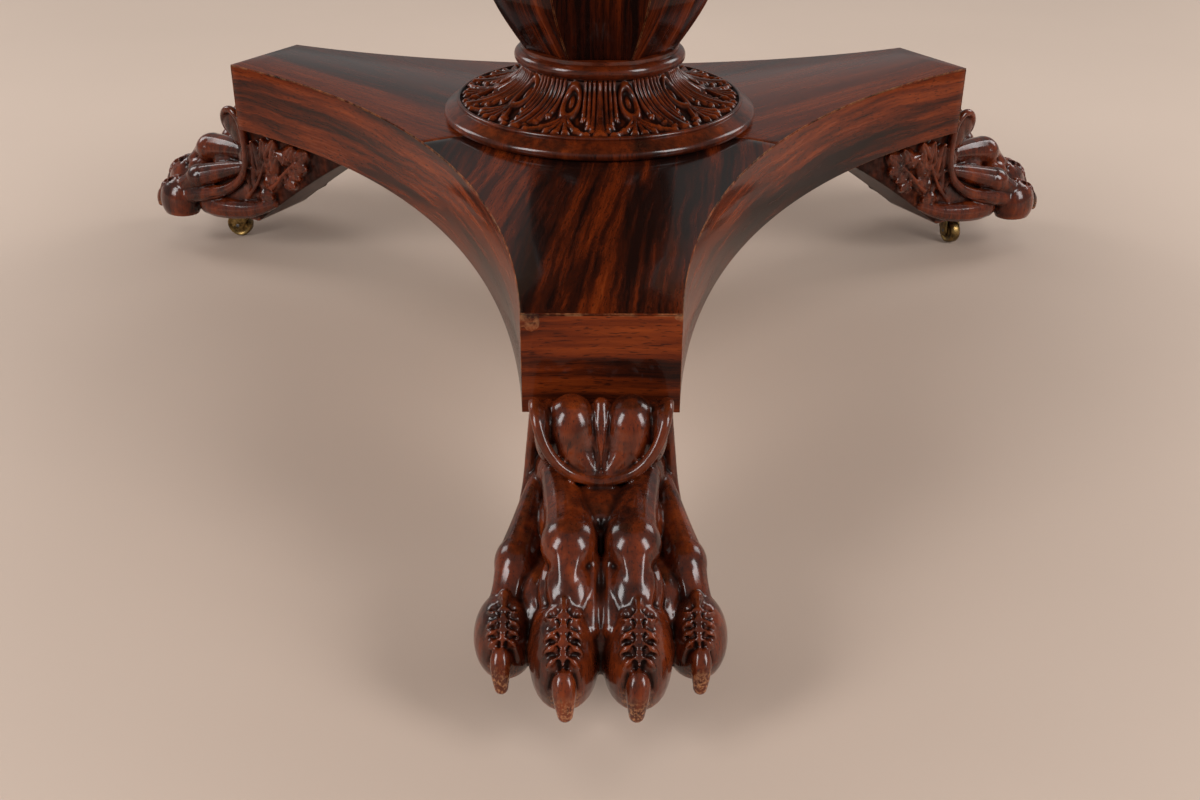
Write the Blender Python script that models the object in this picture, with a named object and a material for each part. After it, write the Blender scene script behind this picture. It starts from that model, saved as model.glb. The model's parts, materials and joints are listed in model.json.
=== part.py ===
"""Centre table on a three-armed platform with carved lion-paw feet and castors.

Frame: metres, +Z up, origin on the floor under the stem's axis.  One foot points along -Y.
"""
from math import atan2, cos, pi, radians, sin, sqrt

import bmesh
import bpy
from mathutils import Matrix, Vector

# Clearances and sheet thickness
GAP = 0.0003
VENEER = 0.0012

# Overall sizes
TABLE_HEIGHT = 0.735
TOP_RADIUS = 0.650

# Platform
PLATFORM_TOP = 0.250
PLATFORM_THICKNESS = 0.079
PLATFORM_REACH = 0.468
TIP_WIDTH = 0.113
WAIST = 0.197
SIDE_STEPS = 14

# Feet
FEET = {"front": -90.0, "right": 30.0, "left": 150.0}
SOLE_HEIGHT = 0.046
BRACKET_REACH = 0.195
BRACKET_WIDTH = 0.090
BRACKET_HOLLOW = 1.2
BRACKET_STEPS = 10
PAW_VOXEL = 0.0026
PAW_KEEP = 0.0206
DOWEL_RADIUS = 0.012
DOWEL_LENGTH = 0.060
DOWEL_SETBACK = 0.058
SCREW_RADIUS = 0.003
SCREW_HEAD_RADIUS = 0.006
SCREW_LENGTH = 0.075
SCREW_SETBACK = 0.130

# Carved forms of one hand of a paw.  Places are (along, across, up) from the middle of the arm's
# tip at the height of the sole, for a tip and a rise from sole to platform of the drawn sizes.
DRAWN_TIP = 0.113
DRAWN_RISE = 0.125
MIDDLE_TOE = [(0.020, 0.0330, 0.086, 0.0100), (0.066, 0.0220, 0.080, 0.0170), (0.090, 0.0212, 0.077, 0.0190),
              (0.108, 0.0222, 0.066, 0.0090), (0.124, 0.0235, 0.052, 0.0100)]
MIDDLE_PAD = ((0.126, 0.0240, 0.018), (0.0390, 0.0240, 0.0410), 0.0)
MIDDLE_CLAW = [(0.150, 0.0238, 0.025, 0.0085), (0.160, 0.0234, 0.021, 0.0096), (0.1675, 0.0226, 0.0075, 0.0058)]
TOE_WAIST = ((0.107, 0.0226, 0.0465), (0.0280, 0.0226, 0.0190), 38.0)
OUTER_TOE = [(0.004, 0.0450, 0.072, 0.0070), (0.050, 0.0510, 0.059, 0.0135), (0.077, 0.0575, 0.051, 0.0155),
             (0.102, 0.0635, 0.030, 0.0130)]
OUTER_PAD = ((0.109, 0.0640, 0.016), (0.0285, 0.0215, 0.0300), 0.0)
OUTER_CLAW = [(0.122, 0.0655, 0.023, 0.0075), (0.134, 0.0655, 0.019, 0.0082), (0.143, 0.0646, 0.0072, 0.0052)]
OUTER_WEB = ((0.088, 0.0415, 0.034), (0.0420, 0.0185, 0.0280), 18.0)
HEEL_PAD = [(-0.030, 0.0440, 0.028, 0.0070), (0.010, 0.0500, 0.015, 0.0120), (0.045, 0.0560, 0.012, 0.0145),
            (0.070, 0.0590, 0.011, 0.0135)]
FLANK = ((0.034, 0.0380, 0.038), (0.0480, 0.0170, 0.0300), 12.0)
EDGE_STRIP = [(0.001, 0.0480, 0.114, 0.0050), (-0.002, 0.0500, 0.088, 0.0050), (0.004, 0.0520, 0.062, 0.0055),
              (0.026, 0.0560, 0.043, 0.0070), (0.056, 0.0610, 0.033, 0.0090), (0.086, 0.0640, 0.029, 0.0120)]
LAPPET_LOBE = ((0.0180, 0.0208, 0.121), (0.0220, 0.0203, 0.0285), 8.0)
LAPPET_RIM = [(0.005, 0.0462, 0.131), (0.018, 0.0466, 0.1455), (0.034, 0.0448, 0.140), (0.042, 0.0390, 0.122),
              (0.044, 0.0270, 0.105), (0.045, 0.0120, 0.098), (0.045, 0.0, 0.0965)]
RIM_RADIUS = 0.0045
LEAF_GROUND = ((0.014, 0.0, 0.114), (0.0220, 0.0440, 0.0280), 0.0)
ANKLE_SWELL = ((0.006, 0.0, 0.080), (0.0330, 0.0475, 0.0360), 0.0)
INSTEP = ((0.046, 0.0, 0.062), (0.0440, 0.0460, 0.0310), 0.0)
TOE_WEB = ((0.100, 0.0, 0.035), (0.0380, 0.0160, 0.0230), 22.0)
PAW_BODY = ((0.068, 0.0, 0.020), (0.0700, 0.0600, 0.0400), 0.0)
FLANK_LEAVES = [
    ((0.004, 0.028), [(107, 0.082), (121, 0.098), (134, 0.102), (147, 0.094), (161, 0.082)]),
    ((-0.082, 0.058), [(83, 0.050), (113, 0.060), (138, 0.060)]),
]
FLANK_LOBE_WIDTH = 0.0115
FLANK_LOBE_SWELL = 0.0075
ANKLE = [(0.050, 0.0), (0.045, 0.079), (0.022, 0.104), (-0.004, 0.125)]

# Castors
CASTOR_SETBACK = -0.061
CASTOR_TURN = {"front": 200.0, "right": -75.0, "left": 172.0}
WHEEL_RADIUS = 0.0165
WHEEL_WIDTH = 0.013
WHEEL_CLEARANCE = 0.0006
TRAIL = 0.012
PLATE_RADIUS = 0.0215
PLATE_THICKNESS = 0.003
CROWN_RADIUS = 0.0150
PINTLE_RADIUS = 0.0045
PINTLE_LENGTH = 0.030
CHEEK_THICKNESS = 0.003
CHEEK_RADIUS = 0.0075
AXLE_RADIUS = 0.003

# Collar and neck ring
COLLAR_RADIUS = 0.160
COLLAR_RIM = 0.018
COLLAR_HEIGHT = 0.0560
LEAF_BAND_RADIUS = 0.1430
NECK_RADIUS = 0.0870
NECK_HEIGHT = 0.0185
NECK_FILLET = 0.0790
BELL_STEPS = 6

# Stem, measured across its flats
STEM_SIDES = 8
STEM_FOOT = 0.0730
STEM_BELLY = 0.1140
STEM_BELLY_RISE = 0.100
STEM_NECK = 0.0630
STEM_NECK_DROP = 0.034
STEM_LIP = 0.0780
STEM_STEPS = 12
TENON = 0.027
STEM_RING_HEIGHT = 0.018
STEM_RING_RADIUS = 0.096

# Tie under the platform
TIE_PLATE_RADIUS = 0.050
TIE_PLATE_THICKNESS = 0.004
TIE_SCREW_RADIUS = 0.006
TIE_SCREW_LENGTH = 0.070
TIE_HEAD_RADIUS = 0.012
TIE_HEAD_HEIGHT = 0.007

# Block, pivot and bearers
BLOCK_THICKNESS = 0.045
BLOCK_HALF_WIDTH = 0.180
BLOCK_FRONT = 0.180
PIVOT_OFFSET = 0.165
PIVOT_RADIUS = 0.010
PIVOT_SEAT = 0.055
BEARER_WIDTH = 0.036
BEARER_DEPTH = 0.046
BEARER_HALF_LENGTH = 0.450
BEARER_TAPER = 0.090

# Slide bolt
BOLT_WIDTH = 0.014
BOLT_HEIGHT = 0.005
BOLT_TRAVEL = 0.012
CASE_WIDTH = 0.034
CASE_LENGTH = 0.050
CASE_HEIGHT = 0.012
CASE_INSET = 0.010
KEEPER_WIDTH = 0.036
KEEPER_HEIGHT = 0.014
KEEPER_THICKNESS = 0.003
KNOB_RADIUS = 0.007
KNOB_HEIGHT = 0.016
KNOB_CLEARANCE = 0.001

# Top
BOARD_THICKNESS = 0.030
MOULDING_WIDTH = 0.020
MOULDING_NOSE = 0.011
TOP_SEGMENTS = 48

TURNED_SEGMENTS = 24
SMALL_SEGMENTS = 20
PIN_SEGMENTS = 12
LIMB_BALLS = 7

# Heights that follow from the sizes above
PLATFORM_BOTTOM = PLATFORM_TOP - PLATFORM_THICKNESS
COLLAR_BASE = PLATFORM_TOP + GAP
NECK_BASE = COLLAR_BASE + COLLAR_HEIGHT + GAP
STEM_BASE = NECK_BASE + NECK_HEIGHT + GAP
BOARD_TOP = TABLE_HEIGHT - VENEER - GAP
BOARD_BOTTOM = BOARD_TOP - BOARD_THICKNESS
BLOCK_TOP = BOARD_BOTTOM - GAP
BLOCK_BOTTOM = BLOCK_TOP - BLOCK_THICKNESS
PIVOT_HEIGHT = BLOCK_TOP - BLOCK_THICKNESS / 2
STEM_RING_BASE = BLOCK_BOTTOM - GAP - STEM_RING_HEIGHT
STEM_TOP = STEM_RING_BASE - GAP
TENON_TIP = TENON / cos(pi / STEM_SIDES)
BORE = (TENON_TIP + GAP) / cos(pi / TURNED_SEGMENTS)
AXLE_HEIGHT = WHEEL_RADIUS * cos(pi / SMALL_SEGMENTS)
CASTOR_RADIUS = PLATFORM_REACH - CASTOR_SETBACK
BOLT_LENGTH = CASE_INSET + CASE_LENGTH + BOLT_TRAVEL + KNOB_CLEARANCE + 2 * KNOB_RADIUS


def clear_scene():
    """Remove everything that the start-up file holds."""
    for item in list(bpy.data.objects):
        bpy.data.objects.remove(item, do_unlink=True)


def finish_material(name, colour, roughness, metallic=0.0):
    """One Principled material, made once for each name."""
    material = bpy.data.materials.get(name)
    if material is None:
        material = bpy.data.materials.new(name)
        material.use_nodes = True
        shader = material.node_tree.nodes["Principled BSDF"]
        shader.inputs["Base Color"].default_value = (*colour, 1.0)
        shader.inputs["Roughness"].default_value = roughness
        shader.inputs["Metallic"].default_value = metallic
    return material


def rosewood(node):
    return finish_material(f"{node} rosewood", (0.16, 0.045, 0.022), 0.22)


def carved(node):
    return finish_material(f"{node} carved rosewood", (0.11, 0.032, 0.018), 0.25)


def deal(node):
    return finish_material(f"{node} carcase wood", (0.42, 0.27, 0.15), 0.70)


def brass(node):
    return finish_material(f"{node} brass", (0.42, 0.30, 0.12), 0.40, 1.0)


def iron(node):
    return finish_material(f"{node} iron", (0.12, 0.11, 0.10), 0.55, 1.0)


def add_object(name, mesh_data, material=None, parent=None, angle=30.0):
    """Turn a bmesh into a named object, shaded smooth up to the given edge angle."""
    bmesh.ops.recalc_face_normals(mesh_data, faces=mesh_data.faces)
    mesh = bpy.data.meshes.new(name)
    mesh_data.to_mesh(mesh)
    mesh_data.free()
    mesh.shade_smooth()
    mesh.set_sharp_from_angle(angle=radians(angle))
    item = bpy.data.objects.new(name, mesh)
    bpy.context.collection.objects.link(item)
    item.parent = parent
    if material is not None:
        mesh.materials.append(material)
    return item


def add_empty(name, location=(0.0, 0.0, 0.0), turn=0.0, parent=None):
    """An axis that other pieces are parented to, turned about Z."""
    empty = bpy.data.objects.new(name, None)
    bpy.context.collection.objects.link(empty)
    empty.location = location
    empty.rotation_euler = (0.0, 0.0, radians(turn))
    empty.parent = parent
    return empty


def add_boolean(target, name, mesh_data, operation="DIFFERENCE"):
    """Cut or join a helper solid; the helper stays hidden beside its target."""
    helper = add_object(name, mesh_data, parent=target.parent)
    helper.location = target.location
    helper.hide_render = True
    helper.display_type = "WIRE"
    modifier = target.modifiers.new(name, "BOOLEAN")
    modifier.operation = operation
    modifier.solver = "EXACT"
    modifier.object = helper


def prism(outline, low, high):
    """Upright prism over an outline of (x, y) points."""
    shape = bmesh.new()
    corners = [shape.verts.new((x, y, low)) for x, y in outline]
    base = shape.faces.new(corners)
    raised = bmesh.ops.extrude_face_region(shape, geom=[base])["geom"]
    lifted = [part for part in raised if isinstance(part, bmesh.types.BMVert)]
    bmesh.ops.translate(shape, verts=lifted, vec=(0.0, 0.0, high - low))
    return shape


def box(low, high):
    """Box between two corners."""
    outline = [(low[0], low[1]), (high[0], low[1]), (high[0], high[1]), (low[0], high[1])]
    return prism(outline, low[2], high[2])


def side_prism(outline, low, high):
    """Prism whose outline of (x, z) points is swept along Y."""
    shape = prism(outline, low, high)
    swap = Matrix(((1, 0, 0, 0), (0, 0, 1, 0), (0, 1, 0, 0), (0, 0, 0, 1)))
    bmesh.ops.transform(shape, matrix=swap, verts=shape.verts)
    return shape


def cylinder(radius, low, high, segments=SMALL_SEGMENTS):
    """Upright cylinder on the local Z axis."""
    angles = [2 * pi * step / segments for step in range(segments)]
    return prism([(radius * cos(a), radius * sin(a)) for a in angles], low, high)


def laid(shape, axis, centre):
    """Lay an upright solid along X or Y and move it to its centre."""
    turn = Matrix.Rotation(pi / 2, 4, "Y") if axis == "X" else Matrix.Rotation(-pi / 2, 4, "X")
    place = Matrix.Translation(centre) @ turn
    bmesh.ops.transform(shape, matrix=place, verts=shape.verts)
    return shape


def turned(profile, segments=TURNED_SEGMENTS):
    """Solid of revolution from a closed profile of (radius, height) points."""
    shape = bmesh.new()
    points = [shape.verts.new((radius, 0.0, height)) for radius, height in profile]
    edges = [shape.edges.new((a, b)) for a, b in zip(points, points[1:] + points[:1])]
    bmesh.ops.spin(shape, geom=points + edges, cent=(0, 0, 0), axis=(0, 0, 1),
                   angle=2 * pi, steps=segments, use_merge=True)
    bmesh.ops.remove_doubles(shape, verts=shape.verts, dist=1e-6)
    return shape


def arc(centre, radius, start, end, steps):
    """Points of an arc, angles in degrees."""
    angles = [radians(start + (end - start) * step / steps) for step in range(steps + 1)]
    return [(centre[0] + radius * cos(a), centre[1] + radius * sin(a)) for a in angles]


def loft(rings):
    """Closed solid through rings with equal numbers of points."""
    shape = bmesh.new()
    rows = [[shape.verts.new(point) for point in ring] for ring in rings]
    count = len(rows[0])
    for lower, upper in zip(rows, rows[1:]):
        for index in range(count):
            after = (index + 1) % count
            shape.faces.new((lower[index], lower[after], upper[after], upper[index]))
    shape.faces.new(rows[0][::-1])
    shape.faces.new(rows[-1])
    return shape


# Platform


def side_circle():
    """Distance of a concave side's centre from the stem's axis, and its radius."""
    corner = Vector((PLATFORM_REACH, TIP_WIDTH / 2))
    towards = Vector((cos(pi / 3), sin(pi / 3)))
    distance = (corner.length_squared - WAIST ** 2) / (2 * (corner.dot(towards) - WAIST))
    return distance, distance - WAIST


def half_side(reach, inset):
    """Points of one concave side from an arm's tip to the middle of the side.

    The arm lies along +X and the side bends round to 60 degrees.
    """
    distance, radius = side_circle()
    centre = Vector((distance * cos(pi / 3), distance * sin(pi / 3)))
    radius += inset
    tip = Vector((reach, centre.y - sqrt(radius ** 2 - (reach - centre.x) ** 2)))
    start = atan2(tip.y - centre.y, tip.x - centre.x)
    end = -2 * pi / 3
    steps = SIDE_STEPS // 2
    angles = [start + (end - start) * step / steps for step in range(steps + 1)]
    return [Vector((centre.x + radius * cos(a), centre.y + radius * sin(a))) for a in angles]


def mirrored(points):
    return [Vector((point.x, -point.y)) for point in reversed(points)]


def spun(points, degrees):
    turn = Matrix.Rotation(radians(degrees), 2)
    return [turn @ point for point in points]


def make_platform_core():
    """Three-armed carcase under the veneers."""
    inset = VENEER + GAP
    side = half_side(PLATFORM_REACH - inset, inset)
    arm = mirrored(side) + side
    outline = []
    for degrees in FEET.values():
        outline += spun(arm, degrees)[1:]
    shape = prism(outline, PLATFORM_BOTTOM, PLATFORM_TOP - inset)
    core = add_object("platform_core", shape, deal("platform_core"))
    add_boolean(core, "core_mortise", cylinder(BORE, 0.0, TABLE_HEIGHT, TURNED_SEGMENTS))
    for name, degrees in FEET.items():
        turn = Matrix.Rotation(radians(degrees), 4, "Z")
        dowel = foot_dowel_solid(GAP)
        bmesh.ops.transform(dowel, matrix=turn, verts=dowel.verts)
        add_boolean(core, f"core_dowel_hole_{name}", dowel)
        screw = foot_screw_solid(GAP)
        bmesh.ops.transform(screw, matrix=turn, verts=screw.verts)
        add_boolean(core, f"core_screw_hole_{name}", screw)


def make_top_veneer(name, axis):
    """Veneer of one arm's upper face, met by its neighbours at seams through the stem."""
    side = half_side(PLATFORM_REACH, 0.0)
    seam = Vector((sin(pi / 3), -cos(pi / 3))) * (GAP / 2)
    side[-1] = side[-1] + seam
    steps = SMALL_SEGMENTS // 4
    radius = (TENON_TIP + GAP) / cos(pi / 3 / steps)
    hole = [Vector(point) for point in arc((0, 0), radius, 60, -60, steps)]
    hole[0] = hole[0] + seam
    hole[-1] = hole[-1] + Vector((seam.x, -seam.y))
    node = f"platform_top_veneer_{name}"
    shape = prism(side + hole + mirrored(side), PLATFORM_TOP - VENEER, PLATFORM_TOP)
    add_object(node, shape, rosewood(node), axis)


def make_tip_veneer(name, axis):
    """Veneer on the end of an arm."""
    node = f"platform_tip_veneer_{name}"
    inner = half_side(PLATFORM_REACH - VENEER, 0.0)[0]
    outer = half_side(PLATFORM_REACH, 0.0)[0]
    outline = [(inner.x, -inner.y), (outer.x, -outer.y), (outer.x, outer.y), (inner.x, inner.y)]
    shape = prism(outline, PLATFORM_BOTTOM, PLATFORM_TOP - VENEER - GAP)
    add_object(node, shape, rosewood(node), axis)


def make_side_veneer(name, axis):
    """Veneer bent round the concave side that follows an arm anticlockwise."""
    node = f"platform_side_veneer_{name}"
    reach = PLATFORM_REACH - VENEER - GAP
    faces = []
    for inset in (0.0, VENEER):
        first = half_side(reach, inset)
        second = spun(mirrored(first), 120)
        faces.append(first + second[1:])
    shape = prism(faces[0] + faces[1][::-1], PLATFORM_BOTTOM, PLATFORM_TOP - VENEER - GAP)
    add_object(node, shape, rosewood(node), axis)


# Feet


def foot_dowel_solid(clearance):
    """Dowel that pins a foot to the platform; clearance makes its hole."""
    low = PLATFORM_BOTTOM - DOWEL_LENGTH / 2 - clearance
    high = PLATFORM_BOTTOM + DOWEL_LENGTH / 2 + clearance
    shape = cylinder(DOWEL_RADIUS + clearance, low, high, PIN_SEGMENTS)
    bmesh.ops.translate(shape, verts=shape.verts, vec=(PLATFORM_REACH - DOWEL_SETBACK, 0, 0))
    return shape


def bracket_underside(setback):
    """Height of the bracket's hollow underside at a distance behind the arm's tip."""
    drop = PLATFORM_BOTTOM - SOLE_HEIGHT
    share = min(max(1 - setback / BRACKET_REACH, 0.0), 1.0)
    return PLATFORM_BOTTOM - drop * share ** BRACKET_HOLLOW


def foot_screw_solid(clearance):
    """Screw through the thin end of the bracket, with a countersunk head."""
    seat = bracket_underside(SCREW_SETBACK) + SCREW_HEAD_RADIUS / 2
    neck = seat + SCREW_HEAD_RADIUS - SCREW_RADIUS
    head = SCREW_HEAD_RADIUS + clearance
    shank = SCREW_RADIUS + clearance
    tip = seat + SCREW_LENGTH + clearance
    mouth = seat if clearance == 0 else seat - 4 * SCREW_HEAD_RADIUS
    profile = [(0, mouth), (head, mouth), (head, seat), (shank, neck + clearance), (shank, tip), (0, tip)]
    shape = turned(profile, PIN_SEGMENTS)
    bmesh.ops.translate(shape, verts=shape.verts, vec=(PLATFORM_REACH - SCREW_SETBACK, 0, 0))
    return shape


def unit_ball():
    """Ball that every rounded swelling of a paw is stretched from."""
    mesh = bpy.data.meshes.get("unit_ball")
    if mesh is None:
        shape = bmesh.new()
        bmesh.ops.create_uvsphere(shape, u_segments=20, v_segments=12, radius=1.0)
        mesh = bpy.data.meshes.new("unit_ball")
        shape.to_mesh(mesh)
        shape.free()
    return mesh


def add_ball(shape, centre, radii, tilt=0.0):
    """Ellipsoid; tilt turns it about the foot's cross axis."""
    place = (Matrix.Translation(centre) @ Matrix.Rotation(radians(tilt), 4, "Y")
             @ Matrix.Diagonal((*radii, 1.0)))
    ball = unit_ball().copy()
    ball.transform(place)
    shape.from_mesh(ball)
    bpy.data.meshes.remove(ball)


def add_limb(shape, bends, hand):
    """Round limb through bends of (along, across, up, radius), made of runs of balls."""
    for first, last in zip(bends, bends[1:]):
        for step in range(LIMB_BALLS):
            share = step / (LIMB_BALLS - 1)
            along, across, up, radius = [a + (b - a) * share for a, b in zip(first, last)]
            add_ball(shape, (along, across * hand, up), (radius, radius, radius))


def add_swelling(shape, form, hand):
    """One stretched ball of a hand of the paw."""
    (along, across, up), radii, tilt = form
    add_ball(shape, (along, across * hand, up), radii, tilt)


def add_hand(shape, hand):
    """One hand of the paw: two toes with their pads and claws, the heel and half of the lappet."""
    for limb in (MIDDLE_TOE, MIDDLE_CLAW, OUTER_TOE, OUTER_CLAW, HEEL_PAD, EDGE_STRIP):
        add_limb(shape, limb, hand)
    for swelling in (MIDDLE_PAD, TOE_WAIST, OUTER_PAD, OUTER_WEB, FLANK, LAPPET_LOBE):
        add_swelling(shape, swelling, hand)
    add_limb(shape, [(*bend, RIM_RADIUS) for bend in LAPPET_RIM], hand)


def add_flank_leaves(shape, hand):
    """Acanthus leaves behind the ankle, each lobe a flat ball that fans out from the heel."""
    flank = BRACKET_WIDTH / TIP_WIDTH * DRAWN_TIP / 2 * hand
    for (start, height), lobes in FLANK_LEAVES:
        for bearing, length in lobes:
            along, rise = cos(radians(bearing)), sin(radians(bearing))
            middle = (start + along * length / 2, flank, height + rise * length / 2)
            add_ball(shape, middle, (length / 2, FLANK_LOBE_SWELL, FLANK_LOBE_WIDTH), -bearing)


def paw_solid():
    """Carved foot: toes, claws, heel, lappet and leaves round the bracket under the arm."""
    shape = bmesh.new()
    for swelling in (PAW_BODY, INSTEP, ANKLE_SWELL, TOE_WEB, LEAF_GROUND):
        add_swelling(shape, swelling, 1)
    for hand in (-1, 1):
        add_hand(shape, hand)
        add_flank_leaves(shape, hand)
    rise = PLATFORM_BOTTOM - SOLE_HEIGHT
    fitted = Matrix.Diagonal((1.0, TIP_WIDTH / DRAWN_TIP, rise / DRAWN_RISE, 1.0))
    bmesh.ops.transform(shape, matrix=fitted, verts=shape.verts)
    bmesh.ops.translate(shape, verts=shape.verts, vec=(0.0, 0.0, SOLE_HEIGHT))
    setbacks = [BRACKET_REACH * (1 - step / BRACKET_STEPS) for step in range(BRACKET_STEPS + 1)]
    outline = [(-setback, bracket_underside(setback)) for setback in setbacks]
    outline += [(along, SOLE_HEIGHT + up * rise / DRAWN_RISE) for along, up in ANKLE]
    outline += [(-2 * DOWEL_RADIUS, PLATFORM_TOP), (-BRACKET_REACH, PLATFORM_TOP)]
    bracket = side_prism(outline, -BRACKET_WIDTH / 2, BRACKET_WIDTH / 2)
    mesh = bpy.data.meshes.new("bracket")
    bracket.to_mesh(mesh)
    bracket.free()
    shape.from_mesh(mesh)
    bpy.data.meshes.remove(mesh)
    bmesh.ops.translate(shape, verts=shape.verts, vec=(PLATFORM_REACH, 0.0, 0.0))
    return shape


def make_paw(name, axis):
    """Paw carved from one block, cut to the platform, the dowel, the screw and the castor."""
    node = f"paw_{name}"
    paw = add_object(node, paw_solid(), carved(node), axis, angle=180.0)
    remesh = paw.modifiers.new("carve", "REMESH")
    remesh.mode = "VOXEL"
    remesh.voxel_size = PAW_VOXEL
    smooth = paw.modifiers.new("rub down", "SMOOTH")
    smooth.factor = 0.5
    smooth.iterations = 3
    thin = paw.modifiers.new("thin", "DECIMATE")
    thin.ratio = PAW_KEEP
    reach, wide, tall = 2 * PLATFORM_REACH, 2 * TIP_WIDTH, TABLE_HEIGHT
    add_boolean(paw, f"{node}_platform_cut",
                box((0.0, -wide, PLATFORM_BOTTOM - GAP), (PLATFORM_REACH + GAP, wide, tall)))
    add_boolean(paw, f"{node}_sole_cut", box((0.0, -wide, -tall), (reach, wide, SOLE_HEIGHT)))
    add_boolean(paw, f"{node}_dowel_hole", foot_dowel_solid(GAP))
    add_boolean(paw, f"{node}_screw_hole", foot_screw_solid(GAP))
    add_boolean(paw, f"{node}_castor_hole", castor_hole())


# Castors


def castor_hole():
    """Hole in the sole for the castor's pintle."""
    radius = (PINTLE_RADIUS + GAP) / cos(pi / SMALL_SEGMENTS)
    shape = cylinder(radius, 0.0, pintle_top() + GAP)
    bmesh.ops.translate(shape, verts=shape.verts, vec=(CASTOR_RADIUS, 0, 0))
    return shape


def pintle_top():
    return SOLE_HEIGHT + PINTLE_LENGTH


def make_castor(name, axis):
    """Plate castor: the fork swivels on its pintle and the wheel trails behind it."""
    swivel = add_empty(f"castor_{name}_swivel", (CASTOR_RADIUS, 0, 0), parent=axis)
    swivel.rotation_euler[2] = radians(CASTOR_TURN[name] - FEET[name])
    roll = add_empty(f"castor_{name}_roll", (TRAIL, 0, AXLE_HEIGHT), parent=swivel)
    hole = (PINTLE_RADIUS + GAP) / cos(pi / SMALL_SEGMENTS)
    high = SOLE_HEIGHT - GAP
    low = high - PLATE_THICKNESS
    plate = [(hole, low), (PLATE_RADIUS, low), (PLATE_RADIUS, high), (hole, high)]
    node = f"castor_plate_{name}"
    add_object(node, turned(plate, SMALL_SEGMENTS), brass(node), swivel)
    make_fork(name, swivel)
    node = f"castor_wheel_{name}"
    bore = (AXLE_RADIUS + GAP) / cos(pi / PIN_SEGMENTS)
    half, edge = WHEEL_WIDTH / 2, 0.0015
    tread = [(bore, -half), (WHEEL_RADIUS - edge, -half), (WHEEL_RADIUS, edge - half),
             (WHEEL_RADIUS, half - edge), (WHEEL_RADIUS - edge, half), (bore, half)]
    rim = turned(tread, SMALL_SEGMENTS)
    bmesh.ops.rotate(rim, verts=rim.verts, matrix=Matrix.Rotation(pi / SMALL_SEGMENTS, 3, "Z"))
    add_object(node, laid(rim, "Y", (0, 0, 0)), brass(node), roll)
    node = f"castor_axle_{name}"
    span = WHEEL_WIDTH / 2 + WHEEL_CLEARANCE + CHEEK_THICKNESS
    pin = laid(cylinder(AXLE_RADIUS, -span, span, PIN_SEGMENTS), "Y", (0, 0, 0))
    add_object(node, pin, iron(node), roll)


def make_fork(name, swivel):
    """Crown, pintle and two cheeks in one casting."""
    node = f"castor_fork_{name}"
    low = AXLE_HEIGHT + WHEEL_RADIUS + WHEEL_CLEARANCE
    high = SOLE_HEIGHT - 2 * GAP - PLATE_THICKNESS
    crown = [(0, low), (CROWN_RADIUS, low), (CROWN_RADIUS, high), (PINTLE_RADIUS, high),
             (PINTLE_RADIUS, pintle_top()), (0, pintle_top())]
    fork = add_object(node, turned(crown, SMALL_SEGMENTS), brass(node), swivel)
    inner = WHEEL_WIDTH / 2 + WHEEL_CLEARANCE
    drop = arc((TRAIL, AXLE_HEIGHT), CHEEK_RADIUS, 20, -200, 8)
    root = (low + high) / 2
    outline = [(-CHEEK_RADIUS, root)] + drop[::-1] + [(TRAIL, root)]
    for hand, label in ((-1, "right"), (1, "left")):
        span = sorted((inner * hand, (inner + CHEEK_THICKNESS) * hand))
        add_boolean(fork, f"{node}_{label}_cheek", side_prism(outline, *span), "UNION")
    hole = (AXLE_RADIUS + GAP) / cos(pi / PIN_SEGMENTS)
    bore = laid(cylinder(hole, -CROWN_RADIUS, CROWN_RADIUS, PIN_SEGMENTS), "Y", (TRAIL, 0, AXLE_HEIGHT))
    add_boolean(fork, f"{node}_axle_hole", bore)


# Stem


def make_collar():
    """Turned collar: a rounded rim, a fillet and the hollow bell that is carved with leaves."""
    rim = arc((COLLAR_RADIUS - COLLAR_RIM / 2, COLLAR_BASE + COLLAR_RIM / 2), COLLAR_RIM / 2, -90, 90, 4)
    step = 0.002
    bell_low = COLLAR_BASE + COLLAR_RIM + step
    bell_high = COLLAR_BASE + COLLAR_HEIGHT
    throat = NECK_FILLET - step
    bell = []
    for index in range(BELL_STEPS + 1):
        share = radians(90 * index / BELL_STEPS)
        radius = LEAF_BAND_RADIUS - (LEAF_BAND_RADIUS - throat) * sin(share)
        bell.append((radius, bell_high - (bell_high - bell_low) * cos(share)))
    profile = [(BORE, COLLAR_BASE)] + rim + [(LEAF_BAND_RADIUS, COLLAR_BASE + COLLAR_RIM)] + bell
    shape = turned(profile + [(BORE, bell_high)])
    add_object("collar", shape, carved("collar"))


def make_neck_ring():
    """Torus with a fillet above, between the collar and the stem."""
    fillet = 0.004
    round_height = NECK_HEIGHT - fillet
    bead = arc((NECK_RADIUS - round_height / 2, NECK_BASE + round_height / 2), round_height / 2, -90, 90, 4)
    top = NECK_BASE + NECK_HEIGHT
    profile = [(BORE, NECK_BASE)] + bead + [(NECK_FILLET, top - fillet), (NECK_FILLET, top), (BORE, top)]
    add_object("neck_ring", turned(profile), rosewood("neck_ring"))


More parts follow.
